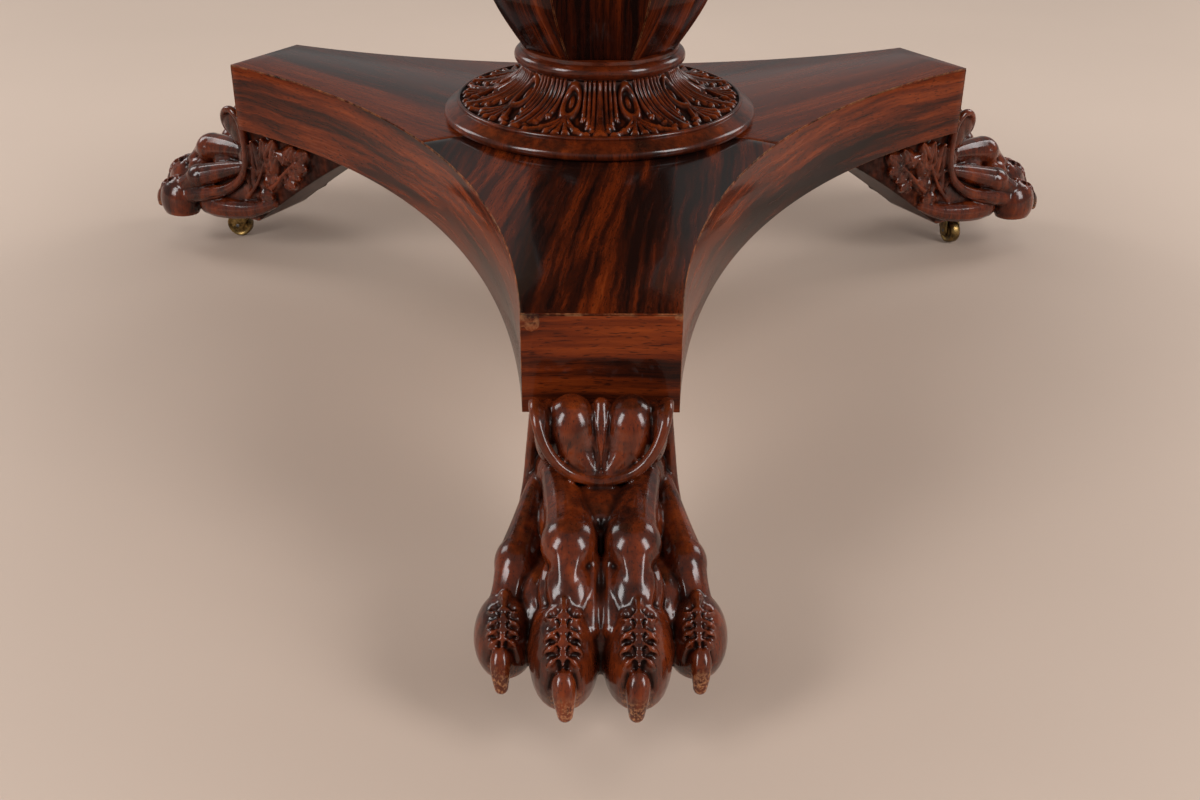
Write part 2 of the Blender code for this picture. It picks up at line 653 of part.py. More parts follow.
def stem_profile():
    """Heights and half-widths of the stem: a full belly that draws in to a neck and a lip."""
    belly = STEM_BASE + STEM_BELLY_RISE
    neck = STEM_TOP - STEM_NECK_DROP
    points = []
    low_steps, high_steps, lip_steps = STEM_STEPS // 2, STEM_STEPS // 2, STEM_STEPS // 4
    for index in range(low_steps):
        share = index / low_steps
        rise = sin(share * pi / 2)
        points.append((STEM_BASE + share * (belly - STEM_BASE), STEM_FOOT + (STEM_BELLY - STEM_FOOT) * rise))
    for index in range(high_steps):
        share = index / high_steps
        ease = (1 + cos(share * pi)) / 2
        points.append((belly + share * (neck - belly), STEM_NECK + (STEM_BELLY - STEM_NECK) * ease))
    for index in range(lip_steps + 1):
        share = index / lip_steps
        flare = 1 - cos(share * pi / 2)
        points.append((neck + share * (STEM_TOP - neck), STEM_NECK + (STEM_LIP - STEM_NECK) * flare))
    return points


def octagon(half_width, height):
    """Ring with flats that face the feet's front and sides."""
    tip = half_width / cos(pi / STEM_SIDES)
    angles = [(index + 0.5) * 2 * pi / STEM_SIDES for index in range(STEM_SIDES)]
    return [(tip * cos(a), tip * sin(a), height) for a in angles]


def make_stem():
    """Solid octagonal core with a tenon at each end, and a veneer on every flat."""
    inset = VENEER + GAP
    profile = stem_profile()
    rings = [octagon(TENON, PLATFORM_BOTTOM), octagon(TENON, STEM_BASE)]
    rings += [octagon(half - inset, height) for height, half in profile]
    rings += [octagon(TENON, STEM_TOP), octagon(TENON, BLOCK_TOP)]
    core = add_object("stem_core", loft(rings), deal("stem_core"))
    add_boolean(core, "stem_tie_hole", tie_screw_solid(GAP))
    for index in range(STEM_SIDES):
        node = f"stem_veneer_{index + 1}"
        sheet = []
        for height, half in profile:
            inner = half - VENEER
            outer_edge = half * sin(pi / STEM_SIDES) / cos(pi / STEM_SIDES) - GAP / 2
            inner_edge = inner * sin(pi / STEM_SIDES) / cos(pi / STEM_SIDES) - GAP / 2
            sheet.append([(inner, -inner_edge, height), (half, -outer_edge, height),
                          (half, outer_edge, height), (inner, inner_edge, height)])
        veneer = add_object(node, loft(sheet), rosewood(node))
        veneer.rotation_euler = (0.0, 0.0, index * 2 * pi / STEM_SIDES)


def make_stem_ring():
    """Turned ring that caps the stem under the block."""
    top = STEM_RING_BASE + STEM_RING_HEIGHT
    fillet = 0.004
    bead = (STEM_RING_HEIGHT - fillet) / 2
    curve = arc((STEM_RING_RADIUS - bead, STEM_RING_BASE + fillet + bead), bead, -90, 90, 4)
    profile = [(BORE, STEM_RING_BASE), (STEM_LIP, STEM_RING_BASE), (STEM_LIP, STEM_RING_BASE + fillet)]
    add_object("stem_ring", turned(profile + curve + [(BORE, top)]), rosewood("stem_ring"))


def tie_screw_solid(clearance):
    """Coach screw that draws the stem down on the platform."""
    shoulder = PLATFORM_BOTTOM - GAP - TIE_PLATE_THICKNESS - GAP
    shank = TIE_SCREW_RADIUS + clearance
    tip = PLATFORM_BOTTOM + TIE_SCREW_LENGTH + clearance
    head = shoulder - TIE_HEAD_HEIGHT
    profile = [(0, head), (TIE_HEAD_RADIUS, head), (TIE_HEAD_RADIUS, shoulder),
               (shank, shoulder), (shank, tip), (0, tip)]
    return turned(profile, PIN_SEGMENTS)


def make_tie():
    """Iron plate and screw under the platform."""
    high = PLATFORM_BOTTOM - GAP
    low = high - TIE_PLATE_THICKNESS
    hole = (TIE_SCREW_RADIUS + GAP) / cos(pi / SMALL_SEGMENTS)
    plate = [(hole, low), (TIE_PLATE_RADIUS, low), (TIE_PLATE_RADIUS, high), (hole, high)]
    add_object("tie_plate", turned(plate, SMALL_SEGMENTS), iron("tie_plate"))
    add_object("tie_screw", tie_screw_solid(0.0), iron("tie_screw"))


# Block, pivot and top


def make_block():
    """Block on the stem; its back edge is rounded about the pivot so that the top can turn."""
    back = arc((PIVOT_OFFSET, PIVOT_HEIGHT), BLOCK_THICKNESS / 2, -90, 90, 8)
    outline = [(-BLOCK_FRONT, BLOCK_TOP), (-BLOCK_FRONT, BLOCK_BOTTOM)] + back
    shape = side_prism(outline, -BLOCK_HALF_WIDTH, BLOCK_HALF_WIDTH)
    bmesh.ops.transform(shape, matrix=Matrix.Rotation(pi / 2, 4, "Z"), verts=shape.verts)
    block = add_object("block", shape, deal("block"))
    add_boolean(block, "block_mortise", cylinder(BORE, 0.0, TABLE_HEIGHT, TURNED_SEGMENTS))
    for hand, label in ((1, "right"), (-1, "left")):
        add_boolean(block, f"block_pivot_hole_{label}", pivot_solid(hand, GAP))
    add_boolean(block, "block_bolt_mortise", bolt_mortise())
    add_boolean(block, "block_keeper_seat", keeper_solid(GAP))


def pivot_solid(hand, clearance):
    """Pin let into the block's side and turning in a bearer."""
    seat = BLOCK_HALF_WIDTH - PIVOT_SEAT - clearance
    end = BLOCK_HALF_WIDTH + GAP + BEARER_WIDTH + clearance
    radius = PIVOT_RADIUS if clearance == 0 else (PIVOT_RADIUS + clearance) / cos(pi / SMALL_SEGMENTS)
    span = sorted((seat * hand, end * hand))
    return laid(cylinder(radius, *span), "X", (0.0, PIVOT_OFFSET, PIVOT_HEIGHT))


def make_bearers():
    """Pivot pins and the two bearers that carry the top."""
    for hand, label in ((1, "right"), (-1, "left")):
        pin = f"pivot_pin_{label}"
        add_object(pin, pivot_solid(hand, 0.0), iron(pin))
        node = f"bearer_{label}"
        axis = add_empty(f"{node}_axis", (0.0, PIVOT_OFFSET, PIVOT_HEIGHT))
        top = BLOCK_TOP - PIVOT_HEIGHT
        low = top - BEARER_DEPTH
        front, back = -BEARER_HALF_LENGTH - PIVOT_OFFSET, BEARER_HALF_LENGTH - PIVOT_OFFSET
        thin = top - BEARER_DEPTH / 3
        outline = [(front, top), (front, thin), (front + BEARER_TAPER, low),
                   (back - BEARER_TAPER, low), (back, thin), (back, top)]
        near = BLOCK_HALF_WIDTH + GAP
        span = sorted((-near * hand, -(near + BEARER_WIDTH) * hand))
        shape = side_prism(outline, *span)
        bmesh.ops.transform(shape, matrix=Matrix.Rotation(pi / 2, 4, "Z"), verts=shape.verts)
        bearer = add_object(node, shape, deal(node), axis)
        hole = pivot_solid(hand, GAP)
        bmesh.ops.translate(hole, verts=hole.verts, vec=(0.0, -PIVOT_OFFSET, -PIVOT_HEIGHT))
        add_boolean(bearer, f"{node}_pivot_hole", hole)


def bolt_height():
    return BOARD_BOTTOM - GAP - CASE_HEIGHT / 2


def bolt_mortise():
    """Hole behind the keeper that the bolt enters."""
    half, tall = BOLT_WIDTH / 2 + GAP, BOLT_HEIGHT / 2 + GAP
    depth = -BLOCK_FRONT + BOLT_TRAVEL + GAP
    front, centre = -BLOCK_FRONT - KEEPER_THICKNESS, bolt_height()
    return box((-half, front, centre - tall), (half, depth, centre + tall))


def keeper_solid(clearance):
    """Keeper's plate, flush in the block's front edge."""
    half, tall = KEEPER_WIDTH / 2 + clearance, KEEPER_HEIGHT / 2 + clearance
    high = min(bolt_height() + tall, BLOCK_TOP + clearance)
    low = bolt_height() - tall
    back = -BLOCK_FRONT + KEEPER_THICKNESS + clearance
    front = -BLOCK_FRONT if clearance == 0 else -BLOCK_FRONT - KEEPER_THICKNESS
    return box((-half, front, low), (half, back, high))


def make_bolt():
    """Slide bolt under the top: a case, a bar with a knob, and a keeper on the block."""
    keeper = add_object("bolt_keeper", keeper_solid(0.0), brass("bolt_keeper"))
    add_boolean(keeper, "keeper_hole", bolt_mortise())
    rest = -BLOCK_FRONT - GAP
    centre = bolt_height()
    case_back = rest - CASE_INSET
    half = CASE_WIDTH / 2
    low, high = centre - CASE_HEIGHT / 2, centre + CASE_HEIGHT / 2
    case = add_object("bolt_case", box((-half, case_back - CASE_LENGTH, low), (half, case_back, high)),
                      brass("bolt_case"))
    wide, tall = BOLT_WIDTH / 2, BOLT_HEIGHT / 2
    channel = box((-wide - GAP, case_back - 2 * CASE_LENGTH, centre - tall - GAP),
                  (wide + GAP, rest, centre + tall + GAP))
    add_boolean(case, "case_channel", channel)
    axis = add_empty("bolt_axis", (0.0, rest, centre))
    blade = box((-wide, -BOLT_LENGTH, -tall), (wide, 0.0, tall))
    bar = add_object("bolt_bar", blade, brass("bolt_bar"), axis)
    knob = cylinder(KNOB_RADIUS, -tall - KNOB_HEIGHT, 0.0)
    place = (0.0, KNOB_RADIUS - BOLT_LENGTH, 0.0)
    bmesh.ops.translate(knob, verts=knob.verts, vec=place)
    add_boolean(bar, "bolt_knob", knob, "UNION")


def make_top():
    """Board, its veneer and the moulding round its edge."""
    inner = TOP_RADIUS - MOULDING_WIDTH
    board = cylinder(inner - GAP, BOARD_BOTTOM, BOARD_TOP, TOP_SEGMENTS)
    add_object("top_board", board, deal("top_board"))
    veneer = cylinder(inner - GAP, TABLE_HEIGHT - VENEER, TABLE_HEIGHT, TOP_SEGMENTS)
    add_object("top_veneer", veneer, rosewood("top_veneer"))
    curve = arc((TOP_RADIUS - MOULDING_NOSE, TABLE_HEIGHT - MOULDING_NOSE), MOULDING_NOSE, -90, 90, 4)
    foot = [(inner, BOARD_BOTTOM), (TOP_RADIUS - MOULDING_NOSE, BOARD_BOTTOM)]
    profile = foot + curve + [(inner, TABLE_HEIGHT)]
    add_object("top_moulding", turned(profile, TOP_SEGMENTS), rosewood("top_moulding"))


def main():
    clear_scene()
    make_platform_core()
    for name, degrees in FEET.items():
        axis = add_empty(f"foot_{name}_axis", turn=degrees)
        make_top_veneer(name, axis)
        make_tip_veneer(name, axis)
        make_side_veneer(name, axis)
        make_paw(name, axis)
        node = f"foot_dowel_{name}"
        add_object(node, foot_dowel_solid(0.0), deal(node), axis)
        node = f"foot_screw_{name}"
        add_object(node, foot_screw_solid(0.0), iron(node), axis)
        make_castor(name, axis)
    make_collar()
    make_neck_ring()
    make_stem()
    make_stem_ring()
    make_tie()
    make_block()
    make_bearers()
    make_bolt()
    make_top()


main()
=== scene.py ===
"""Finish of the rosewood centre table: carved paws and collar, veneers, castors, top and stage.

Laid out as an add-on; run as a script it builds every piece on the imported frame, in metres.
"""

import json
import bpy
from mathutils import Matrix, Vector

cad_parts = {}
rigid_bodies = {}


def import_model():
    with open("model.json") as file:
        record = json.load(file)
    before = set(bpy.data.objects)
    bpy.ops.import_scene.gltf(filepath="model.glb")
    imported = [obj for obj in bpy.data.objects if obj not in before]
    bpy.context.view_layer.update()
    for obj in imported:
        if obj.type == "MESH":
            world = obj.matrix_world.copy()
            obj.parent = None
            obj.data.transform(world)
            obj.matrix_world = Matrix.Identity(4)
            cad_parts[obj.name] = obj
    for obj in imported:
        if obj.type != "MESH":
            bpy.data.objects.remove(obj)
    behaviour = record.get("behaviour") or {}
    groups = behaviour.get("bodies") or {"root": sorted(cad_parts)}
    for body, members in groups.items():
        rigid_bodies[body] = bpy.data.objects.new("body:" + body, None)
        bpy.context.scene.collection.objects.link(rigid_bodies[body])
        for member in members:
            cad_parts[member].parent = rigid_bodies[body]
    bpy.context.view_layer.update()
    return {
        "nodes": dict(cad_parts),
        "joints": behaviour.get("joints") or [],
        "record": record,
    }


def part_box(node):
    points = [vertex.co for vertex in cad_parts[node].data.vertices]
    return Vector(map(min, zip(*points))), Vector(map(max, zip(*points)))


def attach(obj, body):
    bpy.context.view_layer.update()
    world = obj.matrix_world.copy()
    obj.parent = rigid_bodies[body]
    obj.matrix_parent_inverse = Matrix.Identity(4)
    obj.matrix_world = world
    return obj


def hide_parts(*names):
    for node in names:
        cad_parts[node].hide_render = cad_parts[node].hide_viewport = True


bl_info = {
    "name": "Centre table finish",
    "version": (1, 0, 0),
    "blender": (4, 5, 0),
    "location": "3D View > Sidebar > Table",
    "description": "Carves, veneers and polishes the centre table and sets its stage",
    "category": "Object",
}

from math import atan2, cos, pi, radians, sin, sqrt, tan

import bpy
import numpy as np
from bpy.props import FloatProperty, FloatVectorProperty, IntProperty, PointerProperty
from bpy.types import NodeSocket, Operator, Panel, PropertyGroup
from mathutils import Matrix, Vector

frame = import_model()

# Sizes that the frame gives
FEET = {"front": -90.0, "right": 30.0, "left": 150.0}
GAP = 0.0003
TIP_LOW, TIP_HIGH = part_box("platform_tip_veneer_front")
REACH = -TIP_LOW.y
TIP_HALF = TIP_HIGH.x
PLATFORM_BOTTOM = TIP_LOW.z
SIDE_TOP = TIP_HIGH.z
SHEET_LOW, SHEET_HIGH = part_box("platform_top_veneer_front")
PLATFORM_TOP = SHEET_HIGH.z
VENEER = SHEET_HIGH.z - SHEET_LOW.z
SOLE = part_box("castor_plate_front")[1].z + GAP
COLLAR_LOW, COLLAR_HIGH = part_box("collar")
NECK_LOW, NECK_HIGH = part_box("neck_ring")
STEM_LOW, STEM_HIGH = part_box("stem_veneer_1")
RING_LOW, RING_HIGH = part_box("stem_ring")
MOULDING_LOW, MOULDING_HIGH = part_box("top_moulding")
LEAF_LOW, LEAF_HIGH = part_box("top_veneer")


def metres(item):
    """A size or a table of sizes in millimetres, as metres."""
    return item / 1000 if isinstance(item, (int, float)) else type(item)(metres(part) for part in item)


# Veneers: steps of half a concave side, hole for the stem's tenon, lean of each top sheet's grain in degrees,
# width of the tips' and sides' rubbed edges as a share of the tops'
SIDE_STEPS = 40
TENON_HOLE = 0.031
LEANS = (7, -10, 12)
FINE_ARRIS = 0.6
# Colour and gloss of the platform's top sheets: the front one darker and clearer than the other two, as painted
# shade from the table top above it; the rear two painted lighter and calmer, as painted light against the table
# top's shadow on them
FRONT_SHEET_SHADED = {"depth": 0.05, "gloss": 0.4, "contrast": 1.0, "haze": 0.1}
REAR_SHEET_LIT = {"depth": -0.03, "gloss": 0.55, "contrast": 0.6, "haze": 0.2}

# Bore of the collar and of the turned rings
BORE = 0.045

# Chips at the front end's top corners: share of the tip's half width, drop, half width, half height;
# and their depth as a share of the veneer
CHIPS = [(-0.98, 0.0, 0.013, 0.009), (-0.86, 0.005, 0.006, 0.0075), (0.99, 0.0, 0.006, 0.0045)]
CHIP_DEPTH = 0.85

# Carved forms of one hand of a paw, in millimetres along, across and up from the arm's tip at floor height.
# Balls: place, radii, and tilt in degrees
PAW_BALLS = [(metres(place), metres(radii), tilt) for place, radii, tilt in (
    # sole, instep, ankle, leaf blade, its cheeks and the lappet lobes
    ((68, 0, 66), (70, 60, 40), 0),
    ((46, 0, 108), (44, 46, 31), 0),
    ((6, 0, 126), (33, 47.5, 36), 0),
    ((14, 0, 160), (22, 44, 28), 0),
    ((14, 37, 164), (19, 10.5, 25), 0),
    ((24, 40.5, 172), (16.5, 6, 19), 0),
    ((18, 20.8, 167), (22, 20.3, 28.5), 8),
    # knuckles, waist of the toe, webs between the toes and the flank
    ((88, 21.2, 122.5), (21.5, 19.6, 18.8), 25),
    ((76, 57.5, 97), (19, 15.8, 16), 25),
    ((107, 21.5, 98.5), (29, 20.5, 19.5), 38),
    ((100, 0, 85), (42, 13, 25), 26),
    ((86, 41.5, 74), (40, 18.5, 27), 18),
    ((36, 37, 83), (52, 17, 30), 12),
)]
MIDDLE_PAD = (metres((126, 24, 64)), metres((39, 24, 41)), 0)
OUTER_PAD = (metres((109, 64, 62.5)), metres((28.5, 21.5, 30)), 0)
# Claws and limbs: bends, each with its radius
MIDDLE_CLAW = metres([(153, 23.8, 79, 6), (161.5, 23.6, 74.5, 8), (166.5, 23.2, 67, 8.2), (169, 22.9, 59, 6.9),
                      (169.5, 22.6, 52, 5.4)])
OUTER_CLAW = metres([(127, 65.5, 74, 5.4), (135, 65.5, 70, 7), (140.5, 65.2, 63.5, 7), (144, 65, 56.5, 6),
                     (145, 64.6, 51, 4.8)])
PAW_TUBES = metres([
    # lappet lobe drawn down to its point, the spear between the lobes, the rolled rim
    [(22, 19.5, 163, 19), (31, 16.5, 154, 14.8), (40.5, 4, 144.5, 4.5)],
    [(18, 0, 188, 5.6), (31, 0, 176, 5), (42, 0, 148, 1.8)],
    [(1, 44.5, 150, 4.6), (5, 46.2, 177, 4.8), (18, 46.6, 191.5, 4.8), (34, 44.8, 186, 4.4),
     (42, 39, 168, 4.2), (44, 27, 151, 4), (45, 12, 143.8, 3.8), (45, 0, 142.5, 3.8)],
    # edge strip down the ankle
    [(6, 46.2, 180, 4.6), (2, 48, 162, 4.6), (-2, 50.5, 136, 4.6), (3, 52.5, 110, 5), (25, 56.5, 90, 6.6),
     (56, 61.2, 80, 9), (86, 64, 75, 12), (106, 64.5, 68, 15)],
    # middle toe
    [(20, 33, 132, 10), (42, 27, 130, 14), (66, 22, 126, 17), (90, 21.2, 123, 19), (108, 22.2, 112, 10.2),
     (122, 23.5, 99, 8.8), (134, 24, 90, 10)],
    # inner shoulder of the middle toe, which meets its twin along the middle
    [(94, 8.5, 113, 8.5), (107, 7.8, 105.2, 7.8), (119, 7.8, 97, 7.8), (131, 8.2, 87, 8)],
    # outer toe and its tendon
    [(2, 45, 120, 6), (26, 47.5, 113, 10.5), (52, 51.5, 105, 13.5), (77, 57.5, 97, 15.6), (94, 62, 84, 12),
     (108, 64, 74, 15)],
    # heel pad
    [(-34, 43.5, 78, 6), (-8, 45, 67, 10.5), (20, 48, 62, 14), (46, 51.5, 61, 15.5), (62, 53, 61, 15),
     (68, 53.5, 61, 13.5)],
])
# Bracket: its front outline as (along, up), reach behind the tip, half width, and curve of its underside
ANKLE = metres([(50, 46), (38, 105), (10, 140), (-2, 168)])
BRACKET_REACH = 0.195
BRACKET_HALF = 0.0425
BRACKET_HOLLOW = 1.2
# Share of an outer toe's sprig, triangles of a paw, reach of a claw's wear, painted shade behind the flank leaves
# and under the platform
OUTER_SPRIG = 0.85
PAW_FACES = 185000
CLAW_WEAR = 0.012
GROUND_SHADE = 0.42
# Stem, rib and leaflets of a toe sprig: angle above the horizon, angle to the side, and radius
SPRIG_STEM = [(96, 0, 0.0046), (83, 0, 0.0026), (73, 0, 0.0012)]
SPRIG_RIB = [(83, 4.5, 0.0012), (56, 3.6, 0.0012), (28, 2.6, 0.0011)]
LEAFLETS = [
    [(80, 4, 0.001), (72, 8, 0.0012), (69, 15, 0.0017), (70, 22, 0.0017), (75, 27, 0.001)],
    [(65, 4, 0.001), (59, 8, 0.0011), (56, 14, 0.0017), (54, 21, 0.0025), (49, 28, 0.0014)],
    [(53, 4, 0.001), (47, 8, 0.0011), (44, 14, 0.0017), (42, 21, 0.0025), (37, 28, 0.0014)],
    [(41, 4, 0.001), (35, 7, 0.0011), (32, 13, 0.0016), (30, 18, 0.0022), (25, 23, 0.0013)],
]
# How far they lie above the pad
STEM_LIFT, RIB_LIFT, LEAFLET_LIFT = 0.0008, 0.0013, 0.001
# Knife cuts above and beside the leaflets, and round the root of the claw: points, width and depth
LEAF_CUTS = [
    ([(79, 10), (75, 15), (77, 22)], 0.0024, 0.0024),
    ([(68, 8), (62, 8)], 0.0014, 0.0036), ([(62, 15), (61, 24)], 0.0014, 0.0028),
    ([(55, 8), (50, 8)], 0.0014, 0.0036), ([(49, 15), (48, 25)], 0.0014, 0.0028),
    ([(43, 8), (38, 8)], 0.0014, 0.0036), ([(37, 14), (36, 24)], 0.0014, 0.0028),
    ([(31, 6), (27, 7)], 0.0016, 0.0032),
]
CLAW_ROOT = ([(0, -25), (17, -19), (26, 0), (17, 19), (0, 25)], 0.0018, 0.0022)
# Lobes of the flank's leaves: root and tip as (along, up), and width
FLANK_LOBES = metres([
    ((0, 88), (-5, 118), 11), ((-15, 104), (-11, 152), 15),
    ((-26, 120), (-28.5, 158), 14), ((-29, 128), (-46, 160), 13),
    ((-26, 112), (-48, 141), 16), ((-18, 97), (-48, 113), 17),
    ((-8, 83), (-35, 87), 14),
    ((-68, 134), (-50, 146), 13), ((-60, 136), (-76, 157), 13),
    ((-72, 136), (-98, 154), 14), ((-68, 130), (-95, 135), 13),
    ((-60, 124), (-83, 121), 13), ((-52, 112), (-74, 109), 14),
])
# Along a lobe: share of its length, girth as a share of its width, how far it stands proud
FLANK_LOBE = [(0.0, 0.5, 0.004), (0.35, 1.05, 0.0086), (0.72, 0.98, 0.0102), (1.04, 0.2, 0.0094)]
FLANK_SPINES = metres([
    [(12, 74), (-4, 90), (-20, 112), (-32, 140)],
    [(-36, 100), (-54, 117), (-70, 133), (-88, 147)],
])
# How far a spine stands proud, its radius at the root and how much it loses at each bend
SPINE_PROUD, SPINE_RADIUS, SPINE_TAPER = 0.0052, 0.0038, 0.0008
# Width and depth of the crease down a lobe
CREASE = (0.0022, 0.003)
# Knife lines: path, width and depth
PAW_LINES = metres([
    ([(66, 0, 130), (88, 0, 130), (112, 0, 108), (138, 0, 98), (160, 0, 76), (162, 0, 46)], 2.6, 2.8),
    ([(26, 6.2, 190), (36, 4.2, 170), (42.5, 1.2, 151)], 1.3, 2.2),
    # upper edge of the heel pad
    ([(74, 67, 74), (48, 65, 77.5), (20, 59, 78), (-8, 52, 80)], 2.4, 3.2),
    # oval hollows at either side of the middle toe's waist
    ([(103, 8.5, 114), (112, 9, 106.5), (121, 10, 100)], 3.6, 2.2),
    ([(103, 36.5, 112), (112, 36, 106), (121, 36, 99.5)], 4, 3.6),
])


def length(name, description, value):
    return FloatProperty(name=name, description=description, default=value, unit="LENGTH")


def bearing(name, description, degrees):
    return FloatProperty(name=name, description=description, default=radians(degrees), subtype="ANGLE")


def tone(name, description, value):
    return FloatVectorProperty(name=name, description=description, default=value, subtype="COLOR")


class TableSizes(PropertyGroup):
    waist: length("Waist", "From the stem's axis to the middle of a concave side", 0.197)
    arris: length("Arris", "Width of the rubbed edge of a veneer", 0.0007)
    carving: length("Carving cell", "Cell size of the paws' carved surface", 0.0012)
    leaves: IntProperty(name="Collar leaves", description="Leaves carved round the collar", default=10)
    relief: length("Collar relief", "Depth of the collar's carving", 0.0054)
    belly: length("Stem belly", "Widest half-width of the stem across its flats", 0.114)


class TableFinish(PropertyGroup):
    # The black is also the painted shade in the carved hollows.
    black: tone("Streaks", "Black streaks of the rosewood", (0.0085, 0.0032, 0.0024))
    brown: tone("Heartwood", "Dark heartwood", (0.036, 0.0066, 0.0026))
    red: tone("Red wood", "Red body of the wood", (0.11, 0.0165, 0.0034))
    amber: tone("Amber wood", "Lightest streaks", (0.24, 0.042, 0.007))
    rubbed: tone("Rubbed edge", "Polish worn through on the arrises", (0.4, 0.17, 0.07))
    brass: tone("Brass", "Bright rubbed brass", (0.31, 0.195, 0.068))
    tarnish: tone("Tarnish", "Tarnished brass", (0.05, 0.034, 0.016))
    steel: tone("Worn iron", "Iron rubbed bright", (0.2, 0.2, 0.2))
    iron: tone("Iron", "Dark iron", (0.06, 0.056, 0.052))
    deal: tone("Carcase wood", "Bare wood of the carcase", (0.4, 0.24, 0.12))


class TableStage(PropertyGroup):
    floor: tone("Floor", "Pale floor", (0.55, 0.43, 0.35))
    air: FloatProperty(name="Air", description="Strength of the light from all round", default=0.3)
    key: FloatProperty(name="Side lights", description="Power of each soft light", default=100.0)
    lens: FloatProperty(name="Lens", description="Focal length in millimetres", default=36.47)
    pitch: bearing("Pitch", "Camera's tilt down", 24.88)
    yaw: bearing("Yaw", "Camera's turn to the right", 0.36)
    roll: bearing("Roll", "Camera's lean", 0.37)
    eye: FloatVectorProperty(name="Eye", description="Place of the camera", default=(-0.006, -1.219, 0.624),
                             subtype="TRANSLATION")
    drop: FloatProperty(name="Frame drop", description="Camera shift down, in frame widths", default=0.1)


def sizes():
    return bpy.context.scene.table_sizes


def look():
    return bpy.context.scene.table_finish


# Modelling helpers


def let_go():
    """Leave edit mode and select nothing."""
    if bpy.context.mode != "OBJECT":
        bpy.ops.object.mode_set(mode="OBJECT")
    bpy.ops.object.select_all(action="DESELECT")


def take(piece):
    """Select one piece and make it active."""
    let_go()
    piece.select_set(True)
    bpy.context.view_layer.objects.active = piece


def added(name):
    """Name the object that an operator has just added."""
    piece = bpy.context.object
    piece.name = name
    piece.data.name = name
    return piece


def apply_all(piece):
    """Apply a piece's modifiers in order."""
    take(piece)
    for modifier in list(piece.modifiers):
        bpy.ops.object.modifier_apply(modifier=modifier.name)


def tidy_faces(piece):
    """Merge doubles and point the faces outwards."""
    take(piece)
    bpy.ops.object.mode_set(mode="EDIT")
    bpy.ops.mesh.select_all(action="SELECT")
    bpy.ops.mesh.remove_doubles(threshold=1e-6)
    bpy.ops.mesh.normals_make_consistent(inside=False)
    bpy.ops.object.mode_set(mode="OBJECT")


def laid_out(piece, place):
    """Move a finished mesh to its place."""
    piece.data.transform(place)
    tidy_faces(piece)


def slab(name, outline, low, high):
    """Upright slab extruded from an outline of (x, y) points."""
    let_go()
    bpy.ops.mesh.primitive_circle_add(vertices=len(outline), radius=1.0, fill_type="NGON")
    piece = added(name)
    for vertex, point in zip(piece.data.vertices, outline):
        vertex.co = (point[0], point[1], low)
    bpy.ops.object.mode_set(mode="EDIT")
    bpy.ops.mesh.select_all(action="SELECT")
    bpy.ops.mesh.extrude_region_move(TRANSFORM_OT_translate={"value": (0.0, 0.0, high - low)})
    tidy_faces(piece)
    return piece


def lathe(name, profile, steps):
    """Piece spun about the Z axis from a closed profile of (radius, height) points."""
    let_go()
    bpy.ops.mesh.primitive_circle_add(vertices=len(profile), radius=1.0, fill_type="NOTHING")
    piece = added(name)
    for vertex, (radius, height) in zip(piece.data.vertices, profile):
        vertex.co = (radius, 0.0, height)
    bpy.ops.object.mode_set(mode="EDIT")
    bpy.ops.mesh.select_all(action="SELECT")
    bpy.ops.mesh.spin(steps=steps, angle=2 * pi, center=(0, 0, 0), axis=(0, 0, 1), use_auto_merge=True)
    tidy_faces(piece)
    return piece


def combine(piece, other, operation):
    """Join a piece with another, or cut it with the other, which is used up; its cut faces keep its finish."""
    change = piece.modifiers.new("combine", "BOOLEAN")
    change.operation = operation
    change.solver = "EXACT"
    change.material_mode = "TRANSFER"
    change.object = other
    apply_all(piece)
    bpy.data.objects.remove(other)


def soften(piece, width, segments=2, rubbed=None, angle=40.0):
    """Round a piece's arrises; the rounded faces may take a rubbed finish."""
    bevel = piece.modifiers.new("arris", "BEVEL")
    bevel.width = width
    bevel.segments = segments
    bevel.limit_method = "ANGLE"
    bevel.angle_limit = radians(angle)
    if rubbed is not None:
        piece.data.materials.append(rubbed)
        bevel.material = 1
    apply_all(piece)


def polish(piece, finish=None, angle=35.0):
    """Give a piece its finish and shade it smooth up to an edge angle."""
    if finish is not None:
        piece.data.materials.append(finish)
    take(piece)
    bpy.ops.object.shade_smooth_by_angle(angle=radians(angle))


def veneer(piece, wood, width, angle=40.0):
    """Give a veneer its wood and rub its arrises."""
    piece.data.materials.append(wood)
    soften(piece, width, 2, rubbed_arris(), angle)
    polish(piece)


def fit(piece, body, slot, *nodes):
    """Let a piece ride on its body in place of CAD nodes."""
    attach(piece, body)
    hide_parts(*nodes)


def arc(centre, radius, start, end, steps):
    """Points of an arc, angles in degrees."""
    angles = [radians(start + (end - start) * step / steps) for step in range(steps + 1)]
    return [(centre[0] + radius * cos(a), centre[1] + radius * sin(a)) for a in angles]


def both_ends(half):
    """Profile of a turned piece whose two ends are alike."""
    return half + [(radius, -width) for radius, width in reversed(half)]


def spun_about(points, degrees):
    """Points turned about the stem's axis."""
    turn = Matrix.Rotation(radians(degrees), 2)
    return [turn @ Vector(point) for point in points]


def copy_turned(piece, name, degrees):
    """Copy of a piece with its own mesh, turned about the stem's axis."""
    twin = piece.copy()
    twin.data = piece.data.copy()
    twin.name = name
    twin.data.name = name
    bpy.context.collection.objects.link(twin)
    twin.data.transform(Matrix.Rotation(radians(degrees), 4, "Z"))
    return twin


def read_points(piece):
    """Vertex places and normals as arrays."""
    count = len(piece.data.vertices)
    points = np.empty(count * 3)
    piece.data.vertices.foreach_get("co", points)
    normals = np.empty(count * 3, np.float32)
    piece.data.vertex_normals.foreach_get("vector", normals)
    return points.reshape(-1, 3), normals.reshape(-1, 3).astype(float)


def write_points(piece, points):
    piece.data.vertices.foreach_set("co", points.ravel())
    piece.data.update()


